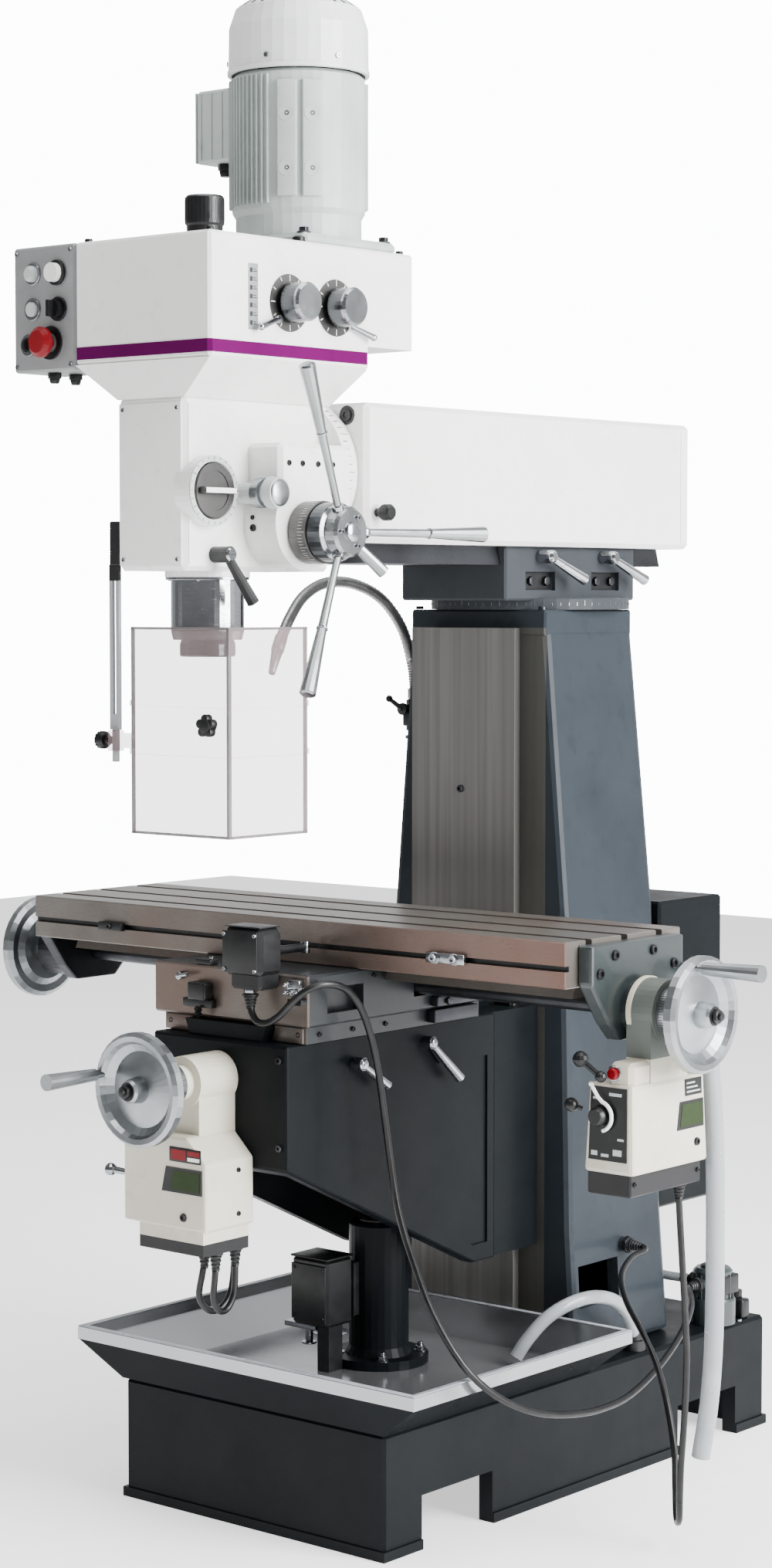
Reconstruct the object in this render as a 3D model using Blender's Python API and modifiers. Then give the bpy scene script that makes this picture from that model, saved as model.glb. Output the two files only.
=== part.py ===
"""Knee-type vertical milling machine with a swivelling ram head.

Metres, +Z up. The origin is the centre of the base's footprint on the floor,
+X is the operator's right and +Y runs back from the operator to the column.
"""

import math

import bmesh
import bpy
from mathutils import Vector

GAP = 0.0003  # clearance between pieces that touch
PI = math.pi

# ---------------------------------------------------------------- driving dimensions
BASE_HALF_X = 0.249
BASE_HALF_Y = 0.470
BASE_TOP = 0.174
TRAY_LIP = 0.243
TRAY_FLOOR = 0.1863
WAY_FRONT = 0.008  # front of the column's dovetail ways
WAY_HALF = 0.0985
CASTING_FRONT = 0.045
COLUMN_TOP = 1.289
TURRET_Y = 0.174
RAM_HALF = 0.12
RAM_FRONT = -0.355
RAM_REAR = 0.43
RAM_BOTTOM = 1.383
RAM_TOP = 1.577
TILT_Z = 1.48
HEAD_HALF = 0.125
HEAD_FRONT = -0.674
HEAD_BOTTOM = 1.343
HEAD_TOP = 1.785
SPINDLE_Y = -0.548
SPINDLE_NOSE = 1.227
MOTOR_Y = -0.36
MOTOR_TOP = 2.031
FEED_Y = -0.478
FEED_Z = 1.395
DIAL_Y = -0.618
DIAL_Z = 1.449
DEPTH_Y = -0.55  # the depth stop's knob
DEPTH_Z = 1.447
LOCK_Y = -0.60  # the quill's lock
LOCK_Z = 1.3645
SPEED_Z = 1.70
SPEED_KNOBS = (("a", -0.52), ("b", -0.4255))
PANEL_RIGHT = -HEAD_HALF - GAP
ESTOP = (-0.172, 1.653)  # the control panel's buttons, by X and Z
START = (-0.159, 1.747)
SELECTOR = (-0.1565, 1.698)
ESTOP_TRAVEL = 0.006
START_TRAVEL = 0.004
CLAMP_Z = 1.368
CLAMPS = (("front", 0.0665), ("rear", 0.2227))
KNEE_HALF = 0.126
KNEE_FRONT = -0.528
KNEE_TOP = 0.70
KNEE_LOCKS = (("front", -0.387, 0.662, (0.143, -0.337, 0.627)),
              ("rear", -0.235, 0.675, (0.143, -0.175, 0.618)))
CROSS_LEVER = (-0.102, -0.58, 0.506)
PEDESTAL_Y = -0.187
SADDLE_HALF = 0.146
SADDLE_FRONT = -0.506
SADDLE_TOP = 0.796
TABLE_HALF = 0.50
TABLE_FRONT = -0.401
TABLE_REAR = -0.139
TABLE_TOP = 0.858
LEADSCREW_Y = -0.27
LEADSCREW_Z = 0.761
NECK_START = 0.534  # where the table feed's neck meets the right bracket
CROSS_Z = 0.648
WHEEL_RADIUS = 0.078
WHEEL_X = 0.62
CROSS_WHEEL_Y = -0.681
TABLE_LEVER = (0.535, -0.37, 0.682)
POST_X = -0.075
POST_Y = -0.65
PUMP_X = 0.212
PUMP_Y = 0.372
PUMP_OUTLET_X = 0.168
PUMP_GLAND_Y = 0.326
SPOUT_X = 0.562  # the table's drain spout, at its right end
SPOUT_Y = -0.168
SPOUT_Z = 0.768

AXIS_TURN = {"X": (0, PI / 2, 0), "Y": (-PI / 2, 0, 0), "Z": (0, 0, 0)}

for leftover in list(bpy.data.objects):
    bpy.data.objects.remove(leftover, do_unlink=True)

PARTS = bpy.data.collections.new("milling_machine")
HELPERS = bpy.data.collections.new("helpers")
bpy.context.scene.collection.children.link(PARTS)
bpy.context.scene.collection.children.link(HELPERS)
HELPERS.hide_render = True

# ---------------------------------------------------------------- materials
COLOURS = {  # colour, roughness, metallic
    "slate_paint": ((0.060, 0.072, 0.082), 0.45, 0.0),
    "white_paint": ((0.86, 0.86, 0.85), 0.35, 0.0),
    "cream_paint": ((0.76, 0.71, 0.60), 0.45, 0.0),
    "green_grey_paint": ((0.24, 0.29, 0.28), 0.45, 0.0),
    "grey_paint": ((0.50, 0.51, 0.52), 0.45, 0.0),
    "motor_paint": ((0.70, 0.73, 0.70), 0.45, 0.0),
    "ground_steel": ((0.45, 0.42, 0.40), 0.32, 1.0),
    "bright_steel": ((0.72, 0.73, 0.75), 0.20, 1.0),
    "dark_iron": ((0.10, 0.11, 0.12), 0.50, 0.6),
    "cast_aluminium": ((0.66, 0.68, 0.70), 0.35, 1.0),
    "black_plastic": ((0.02, 0.02, 0.022), 0.45, 0.0),
    "white_plastic": ((0.85, 0.85, 0.83), 0.40, 0.0),
    "red_plastic": ((0.60, 0.03, 0.03), 0.40, 0.0),
    "clear_plastic": ((0.80, 0.78, 0.78), 0.15, 0.0),
    "cable_rubber": ((0.015, 0.015, 0.017), 0.55, 0.0),
    "hose_plastic": ((0.75, 0.76, 0.78), 0.40, 0.0),
}


def make_material(name, colour, roughness, metallic):
    material = bpy.data.materials.new(name)
    material.use_nodes = True
    shader = material.node_tree.nodes["Principled BSDF"]
    shader.inputs["Base Color"].default_value = (*colour, 1.0)
    shader.inputs["Roughness"].default_value = roughness
    shader.inputs["Metallic"].default_value = metallic
    return material


MATERIALS = {name: make_material(name, *look) for name, look in COLOURS.items()}


# ---------------------------------------------------------------- shape tools
def shape(mesh, location=(0, 0, 0), rotation=(0, 0, 0)):
    """A helper object, hidden from renders until node() makes it a part."""
    obj = bpy.data.objects.new("shape", mesh)
    obj.location = location
    obj.rotation_euler = rotation
    obj.hide_render = True
    obj.display_type = "WIRE"
    HELPERS.objects.link(obj)
    return obj


def mesh_of(bm):
    mesh = bpy.data.meshes.new("shape")
    bm.to_mesh(mesh)
    bm.free()
    return mesh


def round_edges(obj, width, segments=2, angle=30):
    bevel = obj.modifiers.new("round", "BEVEL")
    bevel.width = width
    bevel.segments = segments
    bevel.limit_method = "ANGLE"
    bevel.angle_limit = math.radians(angle)
    return obj


def block(x, y, z, bevel=0.0, segments=1):
    """A box between the given limits on each axis."""
    bm = bmesh.new()
    bmesh.ops.create_cube(bm, size=1.0)
    bmesh.ops.scale(bm, vec=(x[1] - x[0], y[1] - y[0], z[1] - z[0]), verts=bm.verts)
    obj = shape(mesh_of(bm), (sum(x) / 2, sum(y) / 2, sum(z) / 2))
    return round_edges(obj, bevel, segments) if bevel else obj


def taper(low, high, bevel=0.0, segments=2):
    """A box whose bottom and top differ; each is (x0, x1, y0, y1, z)."""
    bm = bmesh.new()
    bmesh.ops.create_cube(bm, size=1.0)
    for vert in bm.verts:
        end = high if vert.co.z > 0 else low
        vert.co = (end[vert.co.x > 0], end[2 + (vert.co.y > 0)], end[4])
    obj = shape(mesh_of(bm))
    return round_edges(obj, bevel, segments) if bevel else obj


def rod(axis, centre, radius, span, end_radius=None, sides=32):
    """A cylinder or cone along an axis; span gives its two ends on that axis."""
    bm = bmesh.new()
    top = radius if end_radius is None else end_radius
    bmesh.ops.create_cone(
        bm, cap_ends=True, segments=sides, radius1=radius, radius2=top, depth=span[1] - span[0]
    )
    place = Vector(centre)
    place["XYZ".index(axis)] = sum(span) / 2
    return shape(mesh_of(bm), place, AXIS_TURN[axis])


def bar(start, end, radius, end_radius=None, sides=12):
    """A round bar from one point to another."""
    start, end = Vector(start), Vector(end)
    bm = bmesh.new()
    top = radius if end_radius is None else end_radius
    bmesh.ops.create_cone(
        bm, cap_ends=True, segments=sides, radius1=radius, radius2=top, depth=(end - start).length
    )
    turn = (end - start).to_track_quat("Z", "Y").to_euler()
    return shape(mesh_of(bm), (start + end) / 2, turn)


def ball(centre, radius, segments=12, rings=6):
    bm = bmesh.new()
    bmesh.ops.create_uvsphere(bm, u_segments=segments, v_segments=rings, radius=radius)
    return shape(mesh_of(bm), centre)


def turned(axis, centre, profile, steps=40):
    """A turned solid: profile is (radius, height) from the top down its outer side."""
    mesh = bpy.data.meshes.new("profile")
    edges = [(i, i + 1) for i in range(len(profile) - 1)]
    mesh.from_pydata([(radius, 0, height) for radius, height in profile], edges, [])
    obj = shape(mesh, centre, AXIS_TURN[axis])
    screw = obj.modifiers.new("turn", "SCREW")
    screw.axis = "Z"
    screw.steps = screw.render_steps = steps
    screw.use_merge_vertices = True
    screw.merge_threshold = 0.00001
    return obj


def outline(axis, points, span):
    """A flat outline extruded along an axis: points are (Y, Z), (X, Z) or (X, Y)."""
    curve = bpy.data.curves.new("outline", "CURVE")
    curve.dimensions = "2D"
    curve.fill_mode = "BOTH"
    curve.extrude = (span[1] - span[0]) / 2
    spline = curve.splines.new("POLY")
    spline.points.add(len(points) - 1)
    for point, (u, v) in zip(spline.points, points):
        point.co = (u, v, 0, 1)
    spline.use_cyclic_u = True
    guide = bpy.data.objects.new("outline", curve)
    mesh = bpy.data.meshes.new_from_object(guide)
    bpy.data.objects.remove(guide)
    bm = bmesh.new()
    bm.from_mesh(mesh)
    bmesh.ops.remove_doubles(bm, verts=bm.verts, dist=0.000001)
    middle = sum(span) / 2
    for vert in bm.verts:
        u, v, w = vert.co.x, vert.co.y, vert.co.z + middle
        vert.co = {"X": (w, u, v), "Y": (u, w, v), "Z": (u, v, w)}[axis]
    bmesh.ops.recalc_face_normals(bm, faces=bm.faces)
    return shape(mesh_of(bm))


def boolean(target, other, operation):
    step = target.modifiers.new(operation.lower(), "BOOLEAN")
    step.operation = operation
    step.solver = "EXACT"
    step.object = other


def join(target, *others):
    for other in others:
        boolean(target, other, "UNION")
    return target


def cut(target, *others):
    for other in others:
        boolean(target, other, "DIFFERENCE")
    return target


def stud(moving, fixed, axis, centre, radius, span, travel=0.0):
    """A pivot stud on the moving piece, and the hole it turns in or is pressed down."""
    join(moving, rod(axis, centre, radius, span, sides=16))
    cut(fixed, rod(axis, centre, radius + GAP, (span[0] - GAP, span[1] + GAP + travel), sides=16))


def smooth_route(points, per_span=4):
    """Points along a Catmull-Rom curve through the given ones."""
    points = [Vector(point) for point in points]
    ends = [2 * points[0] - points[1], *points, 2 * points[-1] - points[-2]]
    route = []
    for before, a, b, after in zip(ends, ends[1:], ends[2:], ends[3:]):
        for step in range(per_span):
            t = step / per_span
            route.append(
                0.5 * (2 * a + (b - before) * t + (2 * before - 5 * a + 4 * b - after) * t**2
                       + (3 * a - before - 3 * b + after) * t**3)
            )
    return [*route, points[-1]]


def tube_along(route, diameter):
    """A round cable or hose through the given points, as a bevelled curve."""
    curve = bpy.data.curves.new("tube", "CURVE")
    curve.dimensions = "3D"
    curve.bevel_depth = diameter / 2
    curve.bevel_resolution = 2
    curve.use_fill_caps = True
    spline = curve.splines.new("POLY")
    spline.points.add(len(route) - 1)
    for point, place in zip(spline.points, route):
        point.co = (*place, 1)
    return shape(curve)


def tube(points, diameter, per_span=4):
    """The same, along a smooth route."""
    return tube_along(smooth_route(points, per_span), diameter)


def sweep(points, radius, per_span=4):
    """The same round tube as a mesh, for joining to another piece."""
    guide = tube(points, 2 * radius, per_span)
    mesh = bpy.data.meshes.new_from_object(guide)
    bpy.data.objects.remove(guide)
    bm = bmesh.new()
    bm.from_mesh(mesh)
    bmesh.ops.remove_doubles(bm, verts=bm.verts, dist=0.000001)
    bmesh.ops.recalc_face_normals(bm, faces=bm.faces)
    return shape(mesh_of(bm))


def cable_pieces(points, diameter, pieces, per_span=3):
    """One route, cut into end-to-end cables; each piece is (name, last point's index, body)."""
    route = smooth_route(points, per_span)
    first = 0
    for name, last, body in pieces:
        stretch = route[first * per_span : last * per_span + 1]
        if first:
            stretch[0] = stretch[0] + (stretch[1] - stretch[0]).normalized() * 2 * GAP
        node(name, tube_along(stretch, diameter), "cable_rubber", body)
        first = last


# ---------------------------------------------------------------- moving bodies
AXES = {}


def axis_empty(name, place, parent=None):
    """An empty on a joint's axis, to carry what moves with that joint."""
    empty = bpy.data.objects.new("axis_" + name, None)
    empty.empty_display_size = 0.05
    PARTS.objects.link(empty)
    empty.location = Vector(place)
    if parent:
        empty.parent = AXES[parent][0]
        empty.location -= AXES[parent][1]
    AXES[name] = (empty, Vector(place))


def node(name, obj, material, body=None):
    """Makes a shape a named part, on the empty of the body it moves with."""
    HELPERS.objects.unlink(obj)
    PARTS.objects.link(obj)
    obj.name = name
    obj.data.name = name
    obj.hide_render = False
    obj.display_type = "TEXTURED"
    obj.data.materials.clear()
    obj.data.materials.append(MATERIALS[material])
    if obj.type == "MESH" and obj.data.polygons:
        obj.data.shade_smooth()
        obj.data.set_sharp_from_angle(angle=math.radians(30))
    if body:
        obj.parent = AXES[body][0]
        obj.location -= AXES[body][1]
    return obj


def add_axes():
    axis_empty("turret", (0, TURRET_Y, COLUMN_TOP))
    for name, y in CLAMPS:
        axis_empty("clamp_" + name, (0.10, y, CLAMP_Z), "turret")
    axis_empty("ram", (0, RAM_FRONT, RAM_BOTTOM), "turret")
    axis_empty("head", (0, RAM_FRONT, TILT_Z), "ram")
    for name, (x, z) in (("estop", ESTOP), ("start", START), ("selector", SELECTOR)):
        axis_empty(name, (x, HEAD_FRONT, z), "head")
    for name, y in SPEED_KNOBS:
        axis_empty("speed_" + name, (HEAD_HALF, y, SPEED_Z), "head")
    axis_empty("feed_lever", (0.12, FEED_Y, FEED_Z), "head")
    axis_empty("feed_dial", (0.062, DIAL_Y, DIAL_Z), "head")
    axis_empty("depth_stop", (0.062, DEPTH_Y, DEPTH_Z), "head")
    axis_empty("quill_lock", (0.062, LOCK_Y, LOCK_Z), "head")
    axis_empty("guard", (POST_X, POST_Y, 1.10), "head")
    axis_empty("fan", (0, MOTOR_Y, MOTOR_TOP), "head")
    axis_empty("quill", (0, SPINDLE_Y, HEAD_BOTTOM), "head")
    axis_empty("spindle", (0, SPINDLE_Y, SPINDLE_NOSE), "quill")
    axis_empty("knee", (0, WAY_FRONT, KNEE_TOP))
    for name, y, z, _ in KNEE_LOCKS:
        axis_empty("knee_lock_" + name, (KNEE_HALF, y, z), "knee")
    axis_empty("cross_wheel", (0, CROSS_WHEEL_Y, CROSS_Z), "knee")
    axis_empty("cross_lever", CROSS_LEVER, "knee")
    axis_empty("saddle", (0, SADDLE_FRONT, KNEE_TOP), "knee")
    axis_empty("table", (0, LEADSCREW_Y, TABLE_TOP), "saddle")
    axis_empty("wheel_left", (-WHEEL_X, LEADSCREW_Y, LEADSCREW_Z), "table")
    axis_empty("wheel_right", (WHEEL_X, LEADSCREW_Y, LEADSCREW_Z), "table")
    axis_empty("table_lever", TABLE_LEVER, "table")


# ---------------------------------------------------------------- standing part
def add_base():
    base = block((-0.246, 0.246), (-0.467, 0.467), (0.008, BASE_TOP), 0.005)
    join(base, block((-BASE_HALF_X, BASE_HALF_X), (-BASE_HALF_Y, BASE_HALF_Y), (0, 0.014)))
    cut(base, block((-0.222, 0.222), (-0.443, 0.443), (-0.02, 0.150)))
    for low, high in ((-0.386, -0.229), (0.229, 0.386)):
        cut(base, block((-0.3, 0.3), (low, high), (-0.02, 0.075)))
    cut(base, rod("Z", (0, PEDESTAL_Y, 0), 0.0185, (0.1, 0.2), sides=24))
    join(base, block((-0.224, 0.224), (-0.012, 0.012), (0, 0.152)))
    node("base", base, "slate_paint")


def add_tray():
    foot = BASE_TOP + GAP
    rear = WAY_FRONT - 0.0015
    shoulder = 0.226
    tray = taper(
        (-BASE_HALF_X, BASE_HALF_X, -BASE_HALF_Y, rear, foot), (-0.319, 0.319, -0.492, rear, shoulder)
    )
    join(tray, block((-0.319, 0.319), (-0.492, rear), (shoulder - 0.001, TRAY_LIP)))
    cut(
        tray,
        taper((-0.237, 0.237, -0.459, -0.004, TRAY_FLOOR), (-0.308, 0.308, -0.481, -0.004, 0.228)),
        block((-0.308, 0.308), (-0.481, -0.004), (0.227, 0.27)),
        rod("Z", (0, PEDESTAL_Y, 0), 0.0185, (0.15, 0.2), sides=24),
    )
    node("chip_tray", tray, "slate_paint")


def half_outline(pairs):
    """An outline mirrored about X = 0, from (half width, height) pairs."""
    return [(-half, height) for half, height in pairs] + [(half, height) for half, height in reversed(pairs)]


def dovetail(half, front, depth, slant):
    """A dovetail way in plan, widest at its front."""
    return [(-half, front), (half, front), (half - slant, front + depth), (slant - half, front + depth)]


def lean_back(obj, middle, bottom, top, shift):
    """Leans the rear of an extruded casting forward towards its top."""
    for vert in obj.data.vertices:
        if vert.co.y > middle:
            vert.co.y -= shift * (vert.co.z - bottom) / (top - bottom)
    return obj


def add_column():
    sides = [(0.188, BASE_TOP + GAP), (0.176, 0.36), (0.166, 0.83), (0.1295, 1.262)]
    column = outline("Y", half_outline(sides), (CASTING_FRONT, 0.289))
    round_edges(lean_back(column, 0.1, BASE_TOP, 1.262, 0.028), 0.010)
    join(column, outline("Z", dovetail(WAY_HALF, WAY_FRONT, 0.047, 0.0235), (BASE_TOP + GAP, 1.262)))
    join(column, block((-0.129, 0.129), (0.043, 0.261), (1.25, COLUMN_TOP), 0.003))
    inner = [(0.168, 0.15), (0.156, 0.36), (0.146, 0.83), (0.109, 1.235)]
    cavity = outline("Y", half_outline(inner), (0.072, 0.265))
    cut(column, lean_back(cavity, 0.1, 0.15, 1.235, 0.028))
    cut(column, block((0.10, 0.25), (0.062, 0.162), (0.245, 0.308)))
    gland = rod("X", (0, 0.176, 0.325), 0.011, (0.165, 0.196), sides=20)
    join(column, gland)
    node("column", column, "slate_paint")


def add_pedestal():
    foot = TRAY_FLOOR + GAP
    flange = foot + 0.013
    profile = [(0, 0.395), (0.040, 0.395), (0.044, 0.391), (0.044, 0.212), (0.050, flange), (0.073, flange),
               (0.073, foot), (0, foot)]
    pedestal = turned("Z", (0, PEDESTAL_Y, 0), profile, 28)
    cut(pedestal, rod("Z", (0, PEDESTAL_Y, 0), 0.0185, (0.1, 0.5), sides=24))
    box = block((-0.071, -0.002), (-0.300, -0.243), (0.252, 0.350), 0.004)
    join(box, block((-0.036, 0.000), (-0.244, -0.231 - GAP), (0.262, 0.340)))
    join(box, block((-0.028, -0.006), (-0.292, -0.262), (foot, 0.253)))
    node("screw_pedestal", pedestal, "slate_paint")
    node("stop_box", box, "black_plastic")


def add_pump():
    foot = BASE_TOP + GAP
    profile = [(0, 0.262), (0.026, 0.262), (0.031, 0.257), (0.031, 0.212), (0.036, 0.212), (0.036, foot),
               (0, foot)]
    pump = turned("Z", (PUMP_X, PUMP_Y, 0), profile, 32)
    join(pump, block((0.166, 0.200), (PUMP_Y - 0.020, PUMP_Y + 0.020), (foot, 0.215), 0.003))
    join(pump, rod("X", (0, PUMP_Y, 0.236), 0.008, (PUMP_OUTLET_X, 0.200), sides=16))
    join(pump, rod("Y", (PUMP_X, 0, 0.240), 0.008, (PUMP_GLAND_Y, 0.350), sides=16))
    node("coolant_pump", pump, "green_grey_paint")


def add_cabinet():
    cabinet = block((-0.165, 0.165), (0.2895, 0.460), (0.360, 0.838), 0.004)
    cut(cabinet, block((-0.157, 0.157), (0.300, 0.452), (0.30, 0.830)))
    node("rear_cabinet", cabinet, "slate_paint")


def add_coolant():
    """The valve on the column's left side, its goose-neck nozzle and the supply hose."""
    x = -0.158
    valve = rod("X", (0, 0.085, 1.122), 0.011, (x, -0.1425), sides=16)
    join(valve, rod("Z", (x, 0.085, 0), 0.010, (1.100, 1.150), sides=16))
    join(valve, rod("Y", (x, 0, 1.135), 0.007, (0.060, 0.085), sides=16))
    node("coolant_valve", valve, "black_plastic")
    neck = [(x, 0.085, 1.150 + GAP), (x, 0.085, 1.175), (x, 0.078, 1.21), (-0.155, 0.050, 1.262),
            (-0.15, -0.005, 1.306), (-0.15, -0.070, 1.328), (-0.148, -0.135, 1.329), (-0.142, -0.190, 1.310),
            (-0.130, -0.235, 1.278), (-0.117, -0.272, 1.243)]
    gooseneck = sweep(neck, 0.0085, 3)
    join(gooseneck, bar((-0.1195, -0.2655, 1.2495), (-0.101, -0.307, 1.198), 0.009, 0.005))
    node("coolant_gooseneck", gooseneck, "grey_paint")
    supply = [(x, 0.085, 1.100 - GAP), (x, 0.085, 1.075), (-0.164, 0.086, 1.02), (-0.182, 0.095, 0.93),
              (-0.186, 0.115, 0.82), (-0.198, 0.180, 0.66), (-0.206, 0.270, 0.50), (-0.19, 0.345, 0.335),
              (-0.10, 0.392, 0.262), (0.02, 0.392, 0.240), (0.110, 0.374, 0.236), (0.150, PUMP_Y, 0.236),
              (PUMP_OUTLET_X - GAP, PUMP_Y, 0.236)]
    node("supply_hose", tube(supply, 0.014, 3), "hose_plastic")
    arc = [(0.176, -0.085, 0.1985), (0.186, -0.070, 0.224), (0.202, -0.046, 0.253), (0.220, -0.012, 0.272),
           (0.232, 0.032, 0.276), (0.234, 0.080, 0.262), (0.228, 0.122, 0.232), (0.222, 0.146, 0.197)]
    node("tray_hose", tube(arc, 0.020, 3), "hose_plastic")


# ---------------------------------------------------------------- turret and ram
def add_turret():
    top = COLUMN_TOP + GAP
    profile = [(0, 1.307), (0.150, 1.307), (0.152, 1.305), (0.152, top), (0, top)]
    disc = turned("Z", (0, TURRET_Y, 0), profile, 48)
    turret = join(disc, block((-0.10, 0.10), (-0.016, 0.309), (1.303, 1.3825), 0.003))
    slot = [(-0.0905, 1.355), (0.0905, 1.355), (0.0805, 1.40), (-0.0805, 1.40)]
    cut(turret, outline("Y", slot, (-0.1, 0.5)))
    for side in (-1, 1):
        for low, high in ((0.032, 0.105), (0.196, 0.268)):
            cut(turret, block(sorted((side * 0.093, side * 0.12)), (low, high), (1.318, 1.346)))
    for name, y in CLAMPS:
        lever = rod("X", (0, y, CLAMP_Z), 0.010, (0.1005, 0.125), sides=20)
        join(lever, bar((0.119, y, CLAMP_Z), (0.131, y + 0.0715, 1.334), 0.0055, 0.0085))
        stud(lever, turret, "X", (0, y, CLAMP_Z), 0.004, (0.0945, 0.11))
        node("clamp_lever_" + name, lever, "bright_steel", "clamp_" + name)
    node("turret_block", turret, "slate_paint", "turret")


def add_ram():
    ram = block((-RAM_HALF, RAM_HALF), (RAM_FRONT, RAM_REAR), (RAM_BOTTOM, RAM_TOP), 0.007)
    cut(ram, block((-0.104, 0.104), (-0.335, 0.414), (1.399, 1.561)))
    cut(ram, rod("Y", (0, 0, TILT_Z), 0.055, (0.40, 0.45)))
    node("ram", ram, "white_paint", "ram")
    profile = [(-0.0900, 1.3553), (0.0900, 1.3553), (0.0838, RAM_BOTTOM - GAP), (-0.0838, RAM_BOTTOM - GAP)]
    node("ram_dovetail", outline("Y", profile, (-0.33, 0.39)), "dark_iron", "ram")


# ---------------------------------------------------------------- head
def add_head():
    front = HEAD_FRONT
    head = block((-HEAD_HALF, HEAD_HALF), (front, -0.259), (1.620, HEAD_TOP), 0.004)
    cut(head, block((-0.2, 0.2), (-0.358, -0.2), (1.60, 1.652)))
    funnel_low = (-0.062, 0.062, -0.657, -0.366, 1.572)
    join(head, taper(funnel_low, (-HEAD_HALF, HEAD_HALF, front, -0.3585, 1.6205)))
    join(head, block((-0.062, 0.062), (-0.657, -0.366), (HEAD_BOTTOM, 1.575), 0.006))
    flange = [(0, 0.0), (0.104, 0.0), (0.106, -0.002), (0.106, -0.028), (0, -0.028)]
    join(head, turned("Y", (0, RAM_FRONT - GAP, TILT_Z), flange, 36))
    join(head, rod("X", (0, FEED_Y, FEED_Z + 0.012), 0.064, (0.0, 0.120), sides=36))
    join(head, block((0.05, 0.120), (-0.532, -0.385), (1.40, 1.515), 0.006))
    join(head, rod("X", (0, DIAL_Y, DIAL_Z), 0.047, (0.05, 0.078), sides=36))
    join(head, rod("Z", (0, SPINDLE_Y, 0), 0.058, (1.335, 1.36), sides=40))
    cut(
        head,
        rod("X", (0, DIAL_Y, DIAL_Z), 0.0385, (0.066, 0.1), sides=36),
        block((-0.108, 0.108), (-0.657, -0.276), (1.664, 1.770)),
        rod("Z", (0, SPINDLE_Y, 0), 0.0505, (1.30, 1.60), sides=40),
        rod("Z", (0, SPINDLE_Y, 0), 0.022, (1.55, 1.80), sides=24),
        rod("Z", (0, MOTOR_Y, 0), 0.030, (1.75, 1.80), sides=24),
    )
    return head


def add_head_fittings(head):
    panel_back = -0.578
    panel = block((-0.245, PANEL_RIGHT), (HEAD_FRONT, panel_back), (1.615, HEAD_TOP), 0.003)
    cap = HEAD_FRONT - 0.008
    mushroom = [(0, cap), (0.013, cap), (0.013, cap - 0.006), (0.021, cap - 0.009), (0.021, cap - 0.014),
                (0.015, cap - 0.020), (0, cap - 0.021)]
    centre = (ESTOP[0], 0, ESTOP[1])
    stop = turned("Y", centre, mushroom, 24)
    stud(stop, panel, "Y", centre, 0.006, (cap - 0.003, HEAD_FRONT + 0.012), ESTOP_TRAVEL)
    node("estop_button", stop, "red_plastic", "estop")
    centre = (START[0], 0, START[1])
    start = rod("Y", centre, 0.013, (HEAD_FRONT - 0.013, HEAD_FRONT - 0.005), sides=24)
    stud(start, panel, "Y", centre, 0.006, (HEAD_FRONT - 0.008, HEAD_FRONT + 0.012), START_TRAVEL)
    node("start_button", start, "white_plastic", "start")
    x, z = SELECTOR
    selector = rod("Y", (x, 0, z), 0.012, (HEAD_FRONT - 0.012, HEAD_FRONT - 0.001), sides=24)
    handle = block((x - 0.0025, x + 0.0025), (HEAD_FRONT - 0.022, HEAD_FRONT - 0.011), (z - 0.011, z + 0.011))
    stud(join(selector, handle), panel, "Y", (x, 0, z), 0.006, (HEAD_FRONT - 0.005, HEAD_FRONT + 0.012))
    node("selector_knob", selector, "black_plastic", "selector")
    node("control_panel", panel, "grey_paint", "head")

    cap_foot = HEAD_TOP + GAP
    drawbar_cap = turned("Z", (0, -0.551, 0), [(0, 1.849), (0.024, 1.849), (0.0268, 1.846), (0.0268, 1.811),
                         (0.0245, 1.808), (0.0245, cap_foot), (0, cap_foot)], 32)
    cut(drawbar_cap, rod("Z", (0, -0.551, 0), 0.0195, (1.77, 1.838), sides=24))
    node("drawbar_cap", drawbar_cap, "black_plastic", "head")

    dish = [(0, 0.163), (0.023, 0.163), (0.026, 0.160), (0.027, 0.134), (0.024, 0.132), (0, 0.132)]
    for name, y in SPEED_KNOBS:
        centre = (0, y, SPEED_Z)
        knob = turned("X", centre, dish, 28)
        join(knob, block((0.134, 0.141), (y + 0.010, y + 0.046), (SPEED_Z - 0.007, SPEED_Z + 0.006), 0.0015))
        join(knob, rod("X", centre, 0.010, (0.1255, 0.14), sides=20))
        stud(knob, head, "X", centre, 0.006, (0.113, 0.13))
        node("speed_knob_" + name, knob, "cast_aluminium", "speed_" + name)

    dial = rod("X", (0, DIAL_Y, DIAL_Z), 0.037, (0.0663, 0.080), sides=36)
    grip = block((0.079, 0.092), (DIAL_Y - 0.031, DIAL_Y + 0.031), (DIAL_Z - 0.0045, DIAL_Z + 0.0045), 0.0015)
    join(dial, grip)
    node("feed_dial", dial, "dark_iron", "feed_dial")
    knob = rod("X", (0, DEPTH_Y, DEPTH_Z), 0.022, (0.1205, 0.135), 0.020, sides=28)
    join(knob, rod("X", (0, DEPTH_Y, DEPTH_Z), 0.014, (0.0655, 0.121), sides=20))
    node("depth_stop_knob", knob, "bright_steel", "depth_stop")


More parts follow.
